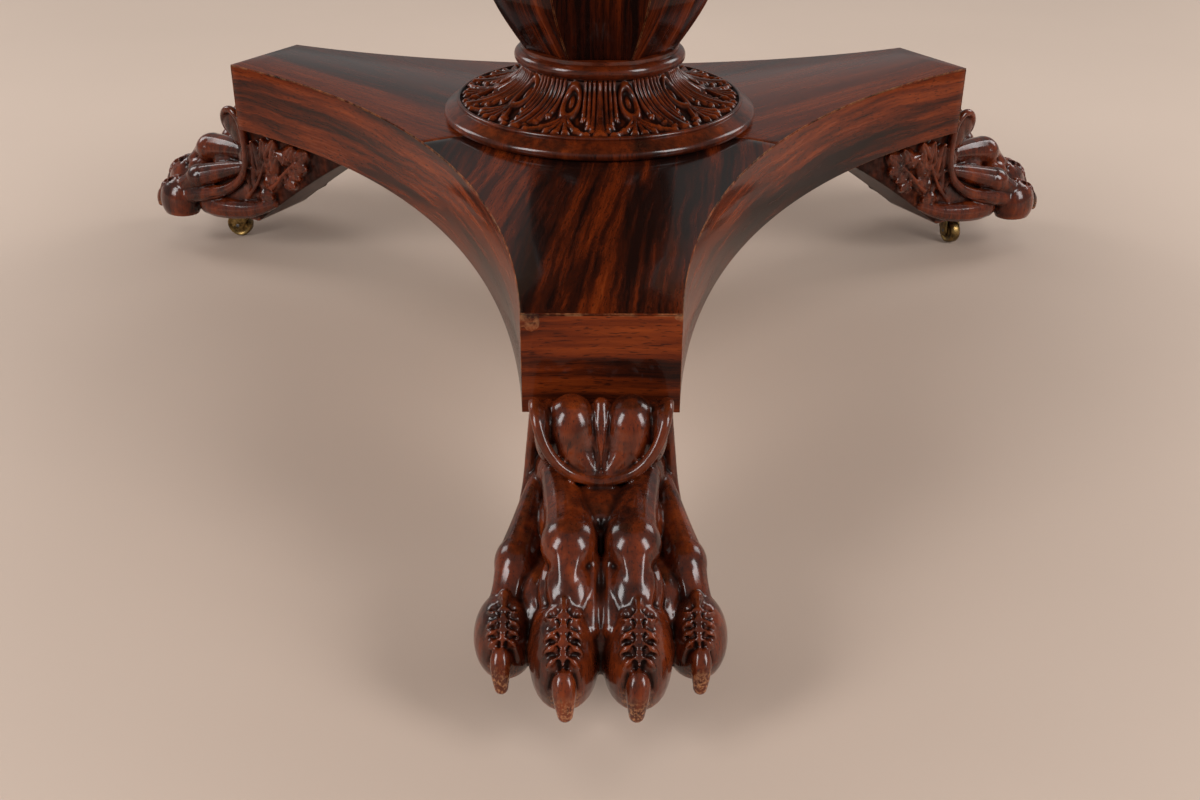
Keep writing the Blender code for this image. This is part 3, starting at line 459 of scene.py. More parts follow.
def cut_line(points, normals, path, width, depth):
    """Press a rounded groove of a given width along a path."""
    path = [np.array(spot) for spot in path]
    nearest = np.full(len(points), 1.0)
    for start, end in zip(path, path[1:]):
        run = end - start
        share = np.clip((points - start) @ run / (run @ run), 0.0, 1.0)
        away = np.linalg.norm(points - start - share[:, None] * run, axis=1)
        nearest = np.minimum(nearest, away)
    fall = np.exp(-(nearest / width) ** 2)
    return points - normals * (depth * fall)[:, None]


def note(piece, name, values):
    """Keep one number for each point of a piece."""
    layer = piece.data.attributes.new(name, "FLOAT", "POINT")
    layer.data.foreach_set("value", np.asarray(values, np.float32))


def note_hollows(piece, rounds, depth, carved=1.0, ground=-1.0):
    """Note how far each carved point lies in a hollow (1) or on a ridge (-1), and no lower than its ground; the
    carved finish paints shade into the hollows by it.
    """
    points, normals = read_points(piece)
    count = len(points)
    ends = np.empty(len(piece.data.edges) * 2, np.int32)
    piece.data.edges.foreach_get("vertices", ends)
    first, last = ends.reshape(-1, 2).T
    valence = np.maximum(np.bincount(first, minlength=count) + np.bincount(last, minlength=count), 1)
    smooth = points.copy()
    for _ in range(rounds):
        total = np.empty_like(smooth)
        for axis in range(3):
            total[:, axis] = (np.bincount(first, smooth[last, axis], count)
                              + np.bincount(last, smooth[first, axis], count))
        smooth = 0.5 * smooth + 0.5 * total / valence[:, None]
    hollow = np.clip(((smooth - points) * normals).sum(axis=1) / depth, -1.0, 1.0)
    note(piece, "hollow", np.maximum(hollow * carved, ground))


# Finishes


class Finish:
    """A material whose nodes are added and joined by short calls."""

    def __init__(self, name):
        self.material = bpy.data.materials.new(name)
        self.material.use_nodes = True
        self.tree = self.material.node_tree
        self.shader = self.tree.nodes["Principled BSDF"]

    def add(self, kind, **settings):
        node = self.tree.nodes.new("ShaderNode" + kind)
        for key, value in settings.items():
            setattr(node, key, value)
        return node

    def feed(self, socket, value):
        if isinstance(value, NodeSocket):
            self.tree.links.new(value, socket)
        else:
            socket.default_value = value

    def give(self, **values):
        for key, value in values.items():
            self.feed(self.shader.inputs[key.replace("_", " ")], value)

    def pair(self, kind, operation, first, second):
        node = self.add(kind, operation=operation)
        self.feed(node.inputs[0], first)
        self.feed(node.inputs[1], second)
        return node.outputs[0]

    def sums(self, operation, first, second):
        return self.pair("Math", operation, first, second)

    def vectors(self, operation, first, second):
        return self.pair("VectorMath", operation, first, second)

    def mixed(self, first, second, share):
        """Two amounts added, the first by a share and the second by the rest."""
        return self.sums("ADD", self.sums("MULTIPLY", first, share), self.sums("MULTIPLY", second, 1.0 - share))

    def noise(self, vector, scale, detail=3.0, roughness=0.5, distortion=0.0, colour=False):
        node = self.add("TexNoise")
        self.feed(node.inputs["Vector"], vector)
        node.inputs["Scale"].default_value = scale
        node.inputs["Detail"].default_value = detail
        node.inputs["Roughness"].default_value = roughness
        node.inputs["Distortion"].default_value = distortion
        return node.outputs["Color" if colour else "Fac"]

    def streaked(self, place, stretch, detail, roughness=0.5, distortion=0.0):
        """Noise with its own scale along and across the grain."""
        return self.noise(self.vectors("MULTIPLY", place, stretch), 1.0, detail, roughness, distortion)

    def swayed(self, grain, place, scale, reach):
        """Coordinates pushed across the grain by soft noise."""
        push = self.vectors("SUBTRACT", self.noise(place, scale, 2.0, colour=True), (0.5, 0.5, 0.5))
        return self.vectors("ADD", grain, self.vectors("MULTIPLY", push, (0.0, reach, reach)))

    def noted(self, name):
        """A number that the mesh keeps for each point."""
        return self.add("Attribute", attribute_name=name).outputs["Fac"]

    def ramp(self, amount, stops):
        node = self.add("ValToRGB")
        self.feed(node.inputs[0], amount)
        band = node.color_ramp
        while len(band.elements) < len(stops):
            band.elements.new(0.5)
        for element, (place, colour) in zip(band.elements, stops):
            element.position = place
            element.color = (*colour, 1.0)
        return node.outputs[0]

    def spread(self, amount, low, high, to_low, to_high):
        node = self.add("MapRange")
        for index, value in enumerate((amount, low, high, to_low, to_high)):
            self.feed(node.inputs[index], value)
        return node.outputs[0]

    def blend(self, amount, first, second):
        node = self.add("Mix", data_type="RGBA")
        self.feed(node.inputs[0], amount)
        for socket, colour in zip(node.inputs[6:8], (first, second)):
            self.feed(socket, colour if isinstance(colour, NodeSocket) else (*colour, 1.0))
        return node.outputs[2]

    def bump(self, height, strength, distance):
        node = self.add("Bump")
        node.inputs["Strength"].default_value = strength
        node.inputs["Distance"].default_value = distance
        self.feed(node.inputs["Height"], height)
        self.give(Normal=node.outputs[0])


def shade(colour, amount):
    return tuple(amount * part for part in colour)


def wood_place(wood, source, turn, shift, matched=False):
    """Coordinates whose X runs along the grain."""
    coords = wood.add("TexCoord").outputs[source]
    if matched:
        coords = wood.vectors("ABSOLUTE", coords, (0.0, 0.0, 0.0))
    place = wood.add("Mapping")
    wood.feed(place.inputs["Vector"], coords)
    place.inputs["Rotation"].default_value = turn
    place.inputs["Location"].default_value = shift
    return place.outputs[0]


def rosewood(name, turn=(0.0, 0.0, 0.0), shift=(0.0, 0.0, 0.0), source="Object", carved=False,
             matched=False, depth=0.0, edge=False, waver=0.03, gloss=0.3, contrast=1.0, haze=0.07):
    """French-polished rosewood: dark streaks along the grain, pores, and where it is carved, painted shade in the
    hollows, amber on the ridges, dark stains and wear on the claws' tips.
    """
    tones = look()
    wood = Finish(name)
    place = wood_place(wood, source, turn, shift, matched)
    grain = wood.swayed(wood.swayed(place, place, 4.0, waver), place, 45.0, 0.0026)
    bands = wood.streaked(grain, (1.6, 30.0, 30.0), 4.0, 0.55, 0.4)
    streaks = wood.streaked(grain, (7.0, 150.0, 150.0), 4.0, 0.65, 0.2)
    pores = wood.streaked(grain, (110.0, 850.0, 850.0), 1.0)
    figure = wood.mixed(bands, streaks, 0.6)
    figure = wood.spread(figure, 0.2, 0.8, 0.5 - depth - 0.3 * contrast, 0.5 - depth + 0.3 * contrast)
    colour = wood.ramp(figure, [(0.38, tones.black), (0.45, tones.brown), (0.53, tones.red),
                                (0.66, tones.amber)])
    colour = wood.blend(wood.spread(pores, 0.3, 0.4, 0.7, 0.0), colour, tones.black)
    shine = wood.spread(streaks, 0.3, 0.7, 0.19, 0.3)
    height = pores
    if carved:
        cloud = wood.noise(place, 160.0, 3.0, 0.6)
        rough_hollow = wood.sums("ADD", wood.noted("hollow"), wood.spread(cloud, 0.3, 0.7, -0.12, 0.12))
        # Painted shade: the carving's hollows are darkened towards black, as though in shadow.
        dark = wood.spread(rough_hollow, 0.02, 0.6, 0.0, 0.94)
        colour = wood.blend(dark, colour, tones.black)
        stain = wood.noise(place, 48.0, 3.0, 0.6)
        colour = wood.blend(wood.spread(stain, 0.46, 0.66, 0.0, 0.62), colour, tones.black)
        # Lighter amber towards the ridges of the carving.
        worn = wood.spread(rough_hollow, -0.3, -0.9, 0.0, 0.45)
        colour = wood.blend(worn, colour, tones.amber)
        shine = wood.spread(rough_hollow, -0.5, 0.7, 0.2, 0.42)
        gloss = wood.spread(rough_hollow, 0.1, 0.5, gloss, 0.06)
        chipped = wood.spread(wood.noise(place, 420.0, 3.0, 0.6), 0.47, 0.62, 0.0, 0.8)
        bare = wood.sums("MULTIPLY", wood.noted("bare"), chipped)
        colour = wood.blend(bare, colour, tones.rubbed)
        height = cloud
    if edge:
        patch = wood.noise(place, 90.0, 4.0, 0.7)
        colour = wood.blend(wood.spread(patch, 0.42, 0.66, 0.0, 0.62), colour, tones.rubbed)
    wood.give(Base_Color=colour, Roughness=shine, Specular_IOR_Level=0.03, Coat_Weight=gloss,
              Coat_Roughness=haze, Coat_IOR=1.5)
    wood.bump(height, 0.05 if carved else 0.06, 0.0004)
    return wood.material


def deal(name, turn):
    """Bare carcase wood, oxidised, with soft growth lines."""
    tones = look()
    wood = Finish(name)
    place = wood_place(wood, "Object", turn, (0.0, 0.0, 0.0))
    lines = wood.streaked(place, (2.0, 55.0, 55.0), 4.0, 0.6, 0.5)
    fibre = wood.streaked(place, (30.0, 700.0, 700.0), 2.0)
    colour = wood.ramp(lines, [(0.34, shade(tones.deal, 0.38)), (0.5, tones.deal),
                               (0.68, shade(tones.deal, 1.25))])
    colour = wood.blend(wood.spread(fibre, 0.35, 0.55, 0.35, 0.0), colour, shade(tones.deal, 0.3))
    wood.give(Base_Color=colour, Roughness=wood.spread(fibre, 0.3, 0.7, 0.62, 0.82))
    wood.bump(fibre, 0.25, 0.0005)
    return wood.material


def metal(name, bright, dull, shine, grain):
    """Old metal: dull in patches and rubbed bright elsewhere."""
    old = Finish(name)
    coords = old.add("TexCoord").outputs["Object"]
    patches = old.noise(coords, grain, 4.0, 0.65)
    specks = old.noise(coords, grain * 7.0, 2.0)
    amount = old.mixed(patches, specks, 0.7)
    colour = old.ramp(amount, [(0.4, dull), (0.62, bright)])
    old.give(Base_Color=colour, Metallic=1.0, Roughness=old.spread(amount, 0.35, 0.65, shine + 0.22, shine))
    old.bump(specks, 0.12, 0.0004)
    return old.material


def made(name, maker, *given, **named):
    """A finish by name, made on first use."""
    return bpy.data.materials.get(name) or maker(name, *given, **named)


def worked_rosewood(name, turn):
    """Rosewood for carved and turned work, hazier and less streaked than veneer."""
    return made(name, rosewood, turn=turn, carved=True, depth=-0.008, gloss=0.7, contrast=0.6, haze=0.16)


def carved_rosewood():
    return worked_rosewood("carved rosewood", (0.0, radians(90), 0.0))


def turned_rosewood():
    return worked_rosewood("turned rosewood", (0.0, 0.0, radians(20)))


def rubbed_arris():
    return made("rubbed arris", rosewood, edge=True)


def tarnished_brass():
    return made("tarnished brass", metal, look().brass, look().tarnish, shine=0.3, grain=120.0)


def dark_iron():
    return made("dark iron", metal, look().steel, look().iron, shine=0.45, grain=90.0)


# Platform


def side_circle():
    """Centre and radius of a concave side's circle, beside an arm that lies along +X."""
    waist = sizes().waist
    corner = Vector((REACH, TIP_HALF))
    towards = Vector((cos(pi / 3), sin(pi / 3)))
    distance = (corner.length_squared - waist ** 2) / (2 * (corner.dot(towards) - waist))
    return towards * distance, distance - waist


def half_side(reach, inset=0.0):
    """One concave side from an arm's tip to the middle, for an arm that lies along +X."""
    centre, radius = side_circle()
    radius += inset
    tip = Vector((reach, centre.y - sqrt(radius ** 2 - (reach - centre.x) ** 2)))
    start = atan2(tip.y - centre.y, tip.x - centre.x)
    end = -2 * pi / 3
    angles = [start + (end - start) * step / SIDE_STEPS for step in range(SIDE_STEPS + 1)]
    return [Vector((centre.x + radius * cos(a), centre.y + radius * sin(a))) for a in angles]


def mirrored(points):
    return [Vector((point.x, -point.y)) for point in reversed(points)]


def map_along_side(piece, name):
    """UV map of a side veneer: arc length from the arm's tip, and height."""
    centre, radius = side_circle()
    centre = Matrix.Rotation(radians(FEET[name]), 2) @ centre
    inward = atan2(-centre.y, -centre.x)
    while piece.data.uv_layers:
        piece.data.uv_layers.remove(piece.data.uv_layers[0])
    layer = piece.data.uv_layers.new(name="grain")
    for loop in piece.data.loops:
        place = piece.data.vertices[loop.vertex_index].co
        angle = atan2(place.y - centre.y, place.x - centre.x) - inward
        angle = (angle + pi) % (2 * pi) - pi
        layer.data[loop.index].uv = (angle * radius, place.z)


class TABLE_OT_platform(Operator):
    """Veneer the three-armed platform"""
    bl_idname = "table.platform"
    bl_label = "Platform veneers"

    def execute(self, context):
        for index, name in enumerate(FEET):
            self.add_sheet(index, name)
            self.add_tip(index, name)
            self.add_side(index, name)
        return {"FINISHED"}

    def add_sheet(self, index, name):
        """Veneer on the top of one arm, up to its seams with the other two."""
        side = half_side(REACH)
        side[-1] = side[-1] + Vector((sin(pi / 3), -cos(pi / 3))) * (GAP / 2)
        hole = [Vector(point) + Vector((GAP, 0.0)) for point in arc((0.0, 0.0), TENON_HOLE, 60, -60, 12)]
        outline = spun_about(side + hole + mirrored(side), FEET[name])
        sheet = slab(f"top_veneer_{name}", outline, PLATFORM_TOP - VENEER, PLATFORM_TOP)
        # Painted shade on the front sheet, painted light on the rear two.
        finish = FRONT_SHEET_SHADED if name == "front" else REAR_SHEET_LIT
        veneer(sheet, rosewood(f"top veneer rosewood {name}",
                               turn=(0, 0, radians(LEANS[index]) - radians(FEET[name])),
                               shift=(0.3 * index, 0.17 * index, 0.0), waver=0.022, **finish), sizes().arris)
        if name == "front":
            self.chip(sheet)
        fit(sheet, "base", "rosewood_veneer", f"platform_top_veneer_{name}")

    def add_tip(self, index, name):
        """Veneer on the end of one arm."""
        inner = half_side(REACH - VENEER)[0]
        outer = half_side(REACH)[0]
        face = [(inner.x, -inner.y), (outer.x, -outer.y), (outer.x, outer.y), (inner.x, inner.y)]
        tip = slab(f"tip_veneer_{name}", spun_about(face, FEET[name]), PLATFORM_BOTTOM, SIDE_TOP)
        veneer(tip, rosewood(f"tip veneer rosewood {name}", turn=(0, 0, -radians(FEET[name]) - pi / 2),
                             shift=(0.21 * index, 0.4, 0.013 * index), depth=-0.014, waver=0.02, gloss=0.2),
               sizes().arris * FINE_ARRIS)
        if name == "front":
            self.chip(tip)
        fit(tip, "base", "rosewood_veneer", f"platform_tip_veneer_{name}")

    def add_side(self, index, name):
        """Veneer round one concave side, from arm to arm."""
        faces = []
        for inset in (0.0, VENEER):
            first = half_side(REACH - VENEER - GAP, inset)
            faces.append(first + spun_about(mirrored(first), 120)[1:])
        outline = spun_about(faces[0] + faces[1][::-1], FEET[name])
        band = slab(f"side_veneer_{name}", outline, PLATFORM_BOTTOM, SIDE_TOP)
        veneer(band, rosewood(f"side veneer rosewood {name}", source="UV",
                              shift=(0.7 * index, 0.031 * index, 0.0), depth=0.006), sizes().arris * FINE_ARRIS)
        map_along_side(band, name)
        fit(band, "base", "rosewood_veneer", f"platform_side_veneer_{name}")

    def chip(self, piece):
        """Break a veneer away at the top corners of the front arm's end."""
        for across, drop, half_width, half_height in CHIPS:
            let_go()
            bpy.ops.mesh.primitive_ico_sphere_add(
                subdivisions=2, radius=1.0, location=(across * TIP_HALF, -REACH, SIDE_TOP - drop),
                scale=(half_width, CHIP_DEPTH * VENEER, half_height))
            flake = bpy.context.object
            flake.data.materials.append(rubbed_arris())
            combine(piece, flake, "DIFFERENCE")
        polish(piece)


# Paws


def at_front(along, across, up):
    """Place on the front foot, in the table's frame."""
    return Vector((across, -(REACH + along), up))


def add_ball(place, radii, tilt=0.0):
    """Stretched ball of the carving; tilt turns it about the foot's cross axis."""
    bpy.ops.mesh.primitive_uv_sphere_add(segments=28, ring_count=16, radius=1.0, location=at_front(*place),
                                         rotation=(radians(tilt), 0.0, 0.0),
                                         scale=(radii[1], radii[0], radii[2]))
    return bpy.context.object


def add_tube(bends):
    """Smooth limb through bends of (along, across, up, radius)."""
    bpy.ops.curve.primitive_nurbs_path_add()
    limb = bpy.context.object
    limb.data.splines.clear()
    path = limb.data.splines.new("NURBS")
    path.points.add(len(bends) - 1)
    for point, (along, across, up, radius) in zip(path.points, bends):
        point.co = (*at_front(along, across, up), 1.0)
        point.radius = radius
    path.order_u = 3
    path.use_endpoint_u = True
    path.resolution_u = 8
    limb.data.bevel_depth = 1.0
    limb.data.bevel_resolution = 4
    limb.data.use_fill_caps = True
    bpy.ops.object.convert(target="MESH")
    ends = [bpy.context.object]
    for along, across, up, radius in (bends[0], bends[-1]):
        ends.append(add_ball((along, across, up), (radius, radius, radius)))
    return ends


def on_pad(pad, rise, side, lift):
    """Point on a toe pad at an angle above the horizon and to one side, lifted off the surface."""
    (along, across, up), radii, tilt = pad
    a, b, t = radians(rise), radians(side), radians(tilt)
    grown = [radius + lift for radius in radii]
    out, wide, high = grown[0] * cos(b) * cos(a), grown[1] * sin(b), grown[2] * cos(b) * sin(a)
    return (along + out * cos(t) + high * sin(t), across + wide, up - out * sin(t) + high * cos(t))


def add_sprig(pad, scale):
    """Leaf sprig that runs down a toe pad to its claw, with a ribbed stem and four pairs of leaflets."""
    def limb(bends, hand, lift):
        return add_tube([(*on_pad(pad, rise, side * hand, lift), radius * scale) for rise, side, radius in bends])

    pieces = limb(SPRIG_STEM, 1, STEM_LIFT)
    for hand in (-1, 1):
        pieces += limb(SPRIG_RIB, hand, RIB_LIFT)
        for leaflet in LEAFLETS:
            pieces += limb(leaflet, hand, LEAFLET_LIFT)
    return pieces


def sprig_hollows(pad, scale):
    """Knife cuts beside the leaflets and round the root of the claw."""
    lines = []
    for cuts, hand, lift in ((LEAF_CUTS, -1, LEAFLET_LIFT), (LEAF_CUTS, 1, LEAFLET_LIFT), ([CLAW_ROOT], 1, 0.0)):
        for spots, width, depth in cuts:
            lines.append(([on_pad(pad, rise, side * hand, lift) for rise, side in spots],
                          width * scale, depth * scale))
    return lines


def bracket_underside(setback):
    """Height of the bracket's hollow underside at a distance behind the arm's tip."""
    share = min(max(1 - setback / BRACKET_REACH, 0.0), 1.0)
    return PLATFORM_BOTTOM - (PLATFORM_BOTTOM - SOLE) * share ** BRACKET_HOLLOW


def add_bracket():
    """Bracket under the arm and the ankle in front of it."""
    steps = 24
    setbacks = [BRACKET_REACH * (1 - step / steps) for step in range(2, steps + 1)]
    outline = [(-setback, bracket_underside(setback)) for setback in setbacks] + ANKLE
    head = PLATFORM_BOTTOM - 0.0008
    outline += [(-0.01, head), (-setbacks[0], head)]
    block = slab("bracket", outline, -BRACKET_HALF, BRACKET_HALF)
    laid_out(block, Matrix(((0, 0, 1, 0), (-1, 0, 0, -REACH), (0, 1, 0, 0), (0, 0, 0, 1))))
    soften(block, width=0.005, segments=3)
    return block


def add_flank_leaves():
    """Acanthus leaves on the flank: a spine each, and pointed lobes whose ends curl outwards."""
    pieces = []
    for root, tip, width in FLANK_LOBES:
        lobe = []
        for share, girth, proud in FLANK_LOBE:
            along, up = (a + (b - a) * share for a, b in zip(root, tip))
            lobe.append((along, BRACKET_HALF + proud - girth * width, up, girth * width))
        pieces += add_tube(lobe)
    for spine in FLANK_SPINES:
        pieces += add_tube([(along, BRACKET_HALF + SPINE_PROUD, up, SPINE_RADIUS - SPINE_TAPER * index)
                            for index, (along, up) in enumerate(spine)])
    return pieces


def flank_creases():
    """Knife lines down the middle of each lobe of the flank's leaves."""
    lines = []
    for root, tip, width in FLANK_LOBES:
        crease = []
        for share, girth, proud in FLANK_LOBE[1:]:
            along, up = (a + (b - a) * share * 0.95 for a, b in zip(root, tip))
            crease.append((along, BRACKET_HALF + proud, up))
        lines.append((crease, *CREASE))
    return lines


def carve_paw():
    """Model one hand of the front paw, mirror it and carve it to one surface."""
    let_go()
    parts = [add_ball(*form) for form in PAW_BALLS + [MIDDLE_PAD, OUTER_PAD]]
    for bends in PAW_TUBES + [MIDDLE_CLAW, OUTER_CLAW]:
        parts += add_tube(bends)
    parts += add_sprig(MIDDLE_PAD, 1.0)
    parts += add_sprig(OUTER_PAD, OUTER_SPRIG)
    parts += add_flank_leaves()
    paw = add_bracket()
    let_go()
    for part in parts:
        part.select_set(True)
    paw.select_set(True)
    bpy.context.view_layer.objects.active = paw
    bpy.ops.object.join()
    paw = added("paw_front_carved")
    bpy.ops.object.transform_apply(location=True, rotation=True, scale=True)
    twin = paw.modifiers.new("other hand", "MIRROR")
    twin.use_mirror_merge = False
    shell = paw.modifiers.new("carve", "REMESH")
    shell.mode = "VOXEL"
    shell.voxel_size = sizes().carving
    rub = paw.modifiers.new("rub down", "SMOOTH")
    rub.factor = 0.5
    rub.iterations = 3
    apply_all(paw)
    points, normals = read_points(paw)
    sprigs = sprig_hollows(MIDDLE_PAD, 1.0) + sprig_hollows(OUTER_PAD, OUTER_SPRIG)
    for path, width, depth in PAW_LINES + sprigs + flank_creases():
        in_middle = all(spot[1] == 0.0 for spot in path)
        for hand in (1,) if in_middle else (1, -1):
            line = [at_front(along, across * hand, up) for along, across, up in path]
            points = cut_line(points, normals, line, width, depth)
    points[:, 2] = np.maximum(points[:, 2], SOLE)
    write_points(paw, points)
    thin = paw.modifiers.new("thin", "DECIMATE")
    thin.ratio = min(1.0, PAW_FACES / len(paw.data.polygons) / 2)
    apply_all(paw)
    points = read_points(paw)[0]
    # Ground of the flank leaves and the bracket's underside, behind the arm's tip and close to the bracket:
    # painted shade, as though shadowed by the platform
    behind = (points[:, 1] > -REACH + 0.004) & (np.abs(points[:, 0]) < BRACKET_HALF + 0.002)
    note_hollows(paw, rounds=40, depth=0.0022, ground=np.where(behind, GROUND_SHADE, -1.0))
    tips = [at_front(along, across * hand, up)
            for along, across, up, _ in (MIDDLE_CLAW[-1], OUTER_CLAW[-1]) for hand in (-1, 1)]
    away = np.min([np.linalg.norm(points - np.array(tip), axis=1) for tip in tips], axis=0)
    note(paw, "bare", np.clip(1.5 - away / CLAW_WEAR, 0.0, 1.0))
    return paw


class TABLE_OT_paws(Operator):
    """Carve the lion paws"""
    bl_idname = "table.paws"
    bl_label = "Lion paws"

    def execute(self, context):
        front = carve_paw()
        polish(front, carved_rosewood(), angle=180.0)
        paws = {"front": front}
        for name in ("right", "left"):
            paws[name] = copy_turned(front, f"paw_{name}_carved", FEET[name] - FEET["front"])
        for name, paw in paws.items():
            fit(paw, "base", "carved_rosewood", f"paw_{name}")
        return {"FINISHED"}


# Castors


def castor_place(name):
    """Swivel frame of a castor, and the wheel's frame, trail and height."""
    joints = {joint["name"]: joint for joint in frame["joints"]}
    pivot = Vector(joints[f"castor_{name}_swivel"]["pos_m"])
    hub = Vector(joints[f"wheel_{name}_roll"]["pos_m"])
    way = hub - pivot
    turn = Matrix.Rotation(atan2(way.y, way.x), 4, "Z")
    place = Matrix.Translation((pivot.x, pivot.y, 0.0)) @ turn
    trail = sqrt(way.x ** 2 + way.y ** 2)
    wheel = place @ (Matrix.Translation((trail, 0.0, hub.z)) @ Matrix.Rotation(pi / 2, 4, "X"))
    return place, wheel, trail, hub.z


class TABLE_OT_castors(Operator):
    """Cast the brass castors"""
    bl_idname = "table.castors"
    bl_label = "Castors"

    def execute(self, context):
        for name in FEET:
            place, wheel, trail, axle = castor_place(name)
            self.add_plate(name, place)
            self.add_wheel(name, wheel, axle)
            self.add_fork(name, place, trail, axle)
            self.add_axle(name, wheel)
        return {"FINISHED"}

    def add_plate(self, name, place):
        high = SOLE - GAP
        profile = [(0.005, high), (0.005, high - 0.003)] + arc((0.0203, high - 0.0015), 0.0012, -90, 90, 6)
        plate = lathe(f"plate_{name}_cast", profile, steps=48)
        laid_out(plate, place)
        polish(plate, tarnished_brass())
        fit(plate, "base", "brass", f"castor_plate_{name}")

    def add_wheel(self, name, place, axle):
        half = metres([(3.6, -6.4), (7, -6.4), (8, -5.2), (12, -5), (13.2, -6.2), (14.8, -6.2), (16, -4.5)])
        wheel = lathe(f"wheel_{name}_cast", both_ends(half + [(axle, -0.002)]), steps=56)
        laid_out(wheel, place)
        polish(wheel, tarnished_brass(), angle=50.0)
        fit(wheel, f"wheel_{name}", "brass", f"castor_wheel_{name}")

    def add_fork(self, name, place, trail, axle):
        low, high = axle + 0.0175, SOLE - 2 * GAP - 0.003
        tip = SOLE + 0.03
        profile = [(0.0, low), (0.0125, low), (0.0145, low + 0.0015), (0.015, low + 0.0035),
                   (0.0138, high - 0.002), (0.01, high), (0.0045, high), (0.0045, tip), (0.0, tip)]
        fork = lathe(f"fork_{name}_cast", profile, steps=48)
        root = low + 0.003
        horn = [(-0.0085, root)] + arc((trail, axle), 0.0075, 205, 370, 20) + [(trail + 0.003, root)]
        inner, thick = 0.0071, 0.003
        for hand in (-1, 1):
            cheek = slab("cheek", horn, *sorted((inner * hand, (inner + thick) * hand)))
            laid_out(cheek, Matrix(((1, 0, 0, 0), (0, 0, 1, 0), (0, 1, 0, 0), (0, 0, 0, 1))))
            soften(cheek, width=0.0007)
            combine(fork, cheek, "UNION")
        laid_out(fork, place)
        fork.data.materials.clear()
        polish(fork, tarnished_brass(), angle=40.0)
        fit(fork, f"castor_{name}", "brass", f"castor_fork_{name}")

    def add_axle(self, name, place):
        end = 0.0104
        half = [(0.0, -end), (0.0018, -end), (0.0027, -end + 0.0006), (0.003, -end + 0.0012)]
        pin = lathe(f"axle_{name}_turned", both_ends(half), steps=28)
        laid_out(pin, place)
        polish(pin, dark_iron())
        fit(pin, f"castor_{name}", "iron", f"castor_axle_{name}")


# Collar and stem


def ridge(away, width):
    """Rounded ridge of unit height."""
    return np.clip(1.0 - (away / width) ** 2, 0.0, None)


def leaf_relief(across, rise):
    """Height of the collar's leaves: across -1 to 1 over one leaf, rise 0 at the rim to 1 at the neck."""
    side = np.abs(across)
    down = 1.0 - rise
    # rib between two leaves, oval ring and the bud inside it
    relief = 1.1 * ridge(side - 1.0, 0.1 + 0.12 * down)
    ring = np.sqrt((across / 0.27) ** 2 + ((rise - 0.63) / 0.25) ** 2)
    relief = np.maximum(relief, 1.0 * ridge(ring - 1.0, 0.36))
    relief = np.maximum(relief, 0.6 * ridge(ring, 0.42))
    # ribs beside the ring: place at the neck, flare towards the rim, and where each ends in a bud
    for root, flare, end in ((0.43, 0.26, 0.36), (0.6, 0.2, 0.22), (0.78, 0.06, 0.11)):
        rib = ridge(side - root - flare * down ** 2, 0.078 + 0.034 * down)
        relief = np.maximum(relief, 0.95 * rib * np.clip((rise - end) / 0.06, 0.0, 1.0))
        off_bud = (side - root - flare * (1.0 - end) ** 2) / 0.11
        relief = np.maximum(relief, ridge(np.sqrt(off_bud ** 2 + ((rise - end) / 0.05) ** 2), 1.0))
    # lobes under the ring: start, spread, and where each ends in a knob
    for start, reach, end in ((0.4, 0.0, 0.06), (0.4, 0.22, 0.08), (0.42, 0.42, 0.14), (0.3, 0.7, 0.04)):
        share = np.clip((start - rise) / (start - end), 0.0, 1.0)
        inside = (rise < start) & (rise > end)
        lobe = ridge(side - reach * share ** 1.2, 0.055 + 0.065 * share) * inside
        knob = ridge(np.sqrt(((side - reach) / 0.13) ** 2 + ((rise - end) / 0.065) ** 2), 1.0)
        relief = np.maximum(relief, np.maximum(0.85 * lobe, knob))
    return relief


class TABLE_OT_collar(Operator):
    """Turn the collar and carve its leaves"""
    bl_idname = "table.collar"
    bl_label = "Carved collar"

    def execute(self, context):
        radius, base, top = COLLAR_HIGH.x, COLLAR_LOW.z, COLLAR_HIGH.z
        rim, step, band, throat = 0.009, 0.002, 0.143, 0.077
        bell_low = base + 2 * rim + step
        bell, steps = [], 56
        for index in range(steps + 1):
            angle = radians(90 * index / steps)
            bell.append((band - (band - throat) * sin(angle), top - (top - bell_low) * cos(angle)))
        foot = [(BORE, base), (radius - 0.0075, base), (radius - 0.0075, base + 0.0012)]
        nose = arc((radius - 0.0052, base + 0.0064), 0.0052, -90, 65, 10)
        bead = arc((band + 0.0015, bell_low - 0.001), 0.0022, -50, 120, 6)
        collar = lathe("collar_carved", foot + nose + bead + bell + [(BORE, top)], steps=900)
        points, normals = read_points(collar)
        angle = np.arctan2(points[:, 1], points[:, 0]) + pi / 2
        reach = np.hypot(points[:, 0], points[:, 1])
        lift = np.clip((band - reach) / (band - throat), 0.0, 1.0)
        rise = np.arcsin(lift) / (pi / 2)
        leaf = 2 * pi / sizes().leaves
        across = 2 * ((angle / leaf) % 1.0) - 1.0
        on_bell = (points[:, 2] > bell_low - 1e-5) & (reach > throat - 1e-4) & (reach < band + 1e-4)
        fade = np.clip(rise / 0.03, 0.0, 1.0) * np.clip((1.0 - rise) / 0.05, 0.0, 1.0) * on_bell
        height = sizes().relief * (leaf_relief(across, rise) - 0.35) * fade * (0.55 + 0.45 * (1.0 - rise))
        write_points(collar, points + normals * height[:, None])
        # The hollows between the collar's leaves take the carved finish's painted shade.
        note_hollows(collar, rounds=30, depth=0.0011, carved=on_bell)
        polish(collar, carved_rosewood(), angle=60.0)
        fit(collar, "base", "carved_rosewood", "collar")
        return {"FINISHED"}


def turned(name, profile, steps, body, node):
    """Turn a piece of rosewood in place of a CAD node."""
    piece = lathe(name, profile, steps)
    polish(piece, turned_rosewood())
    fit(piece, body, "rosewood_turned", node)


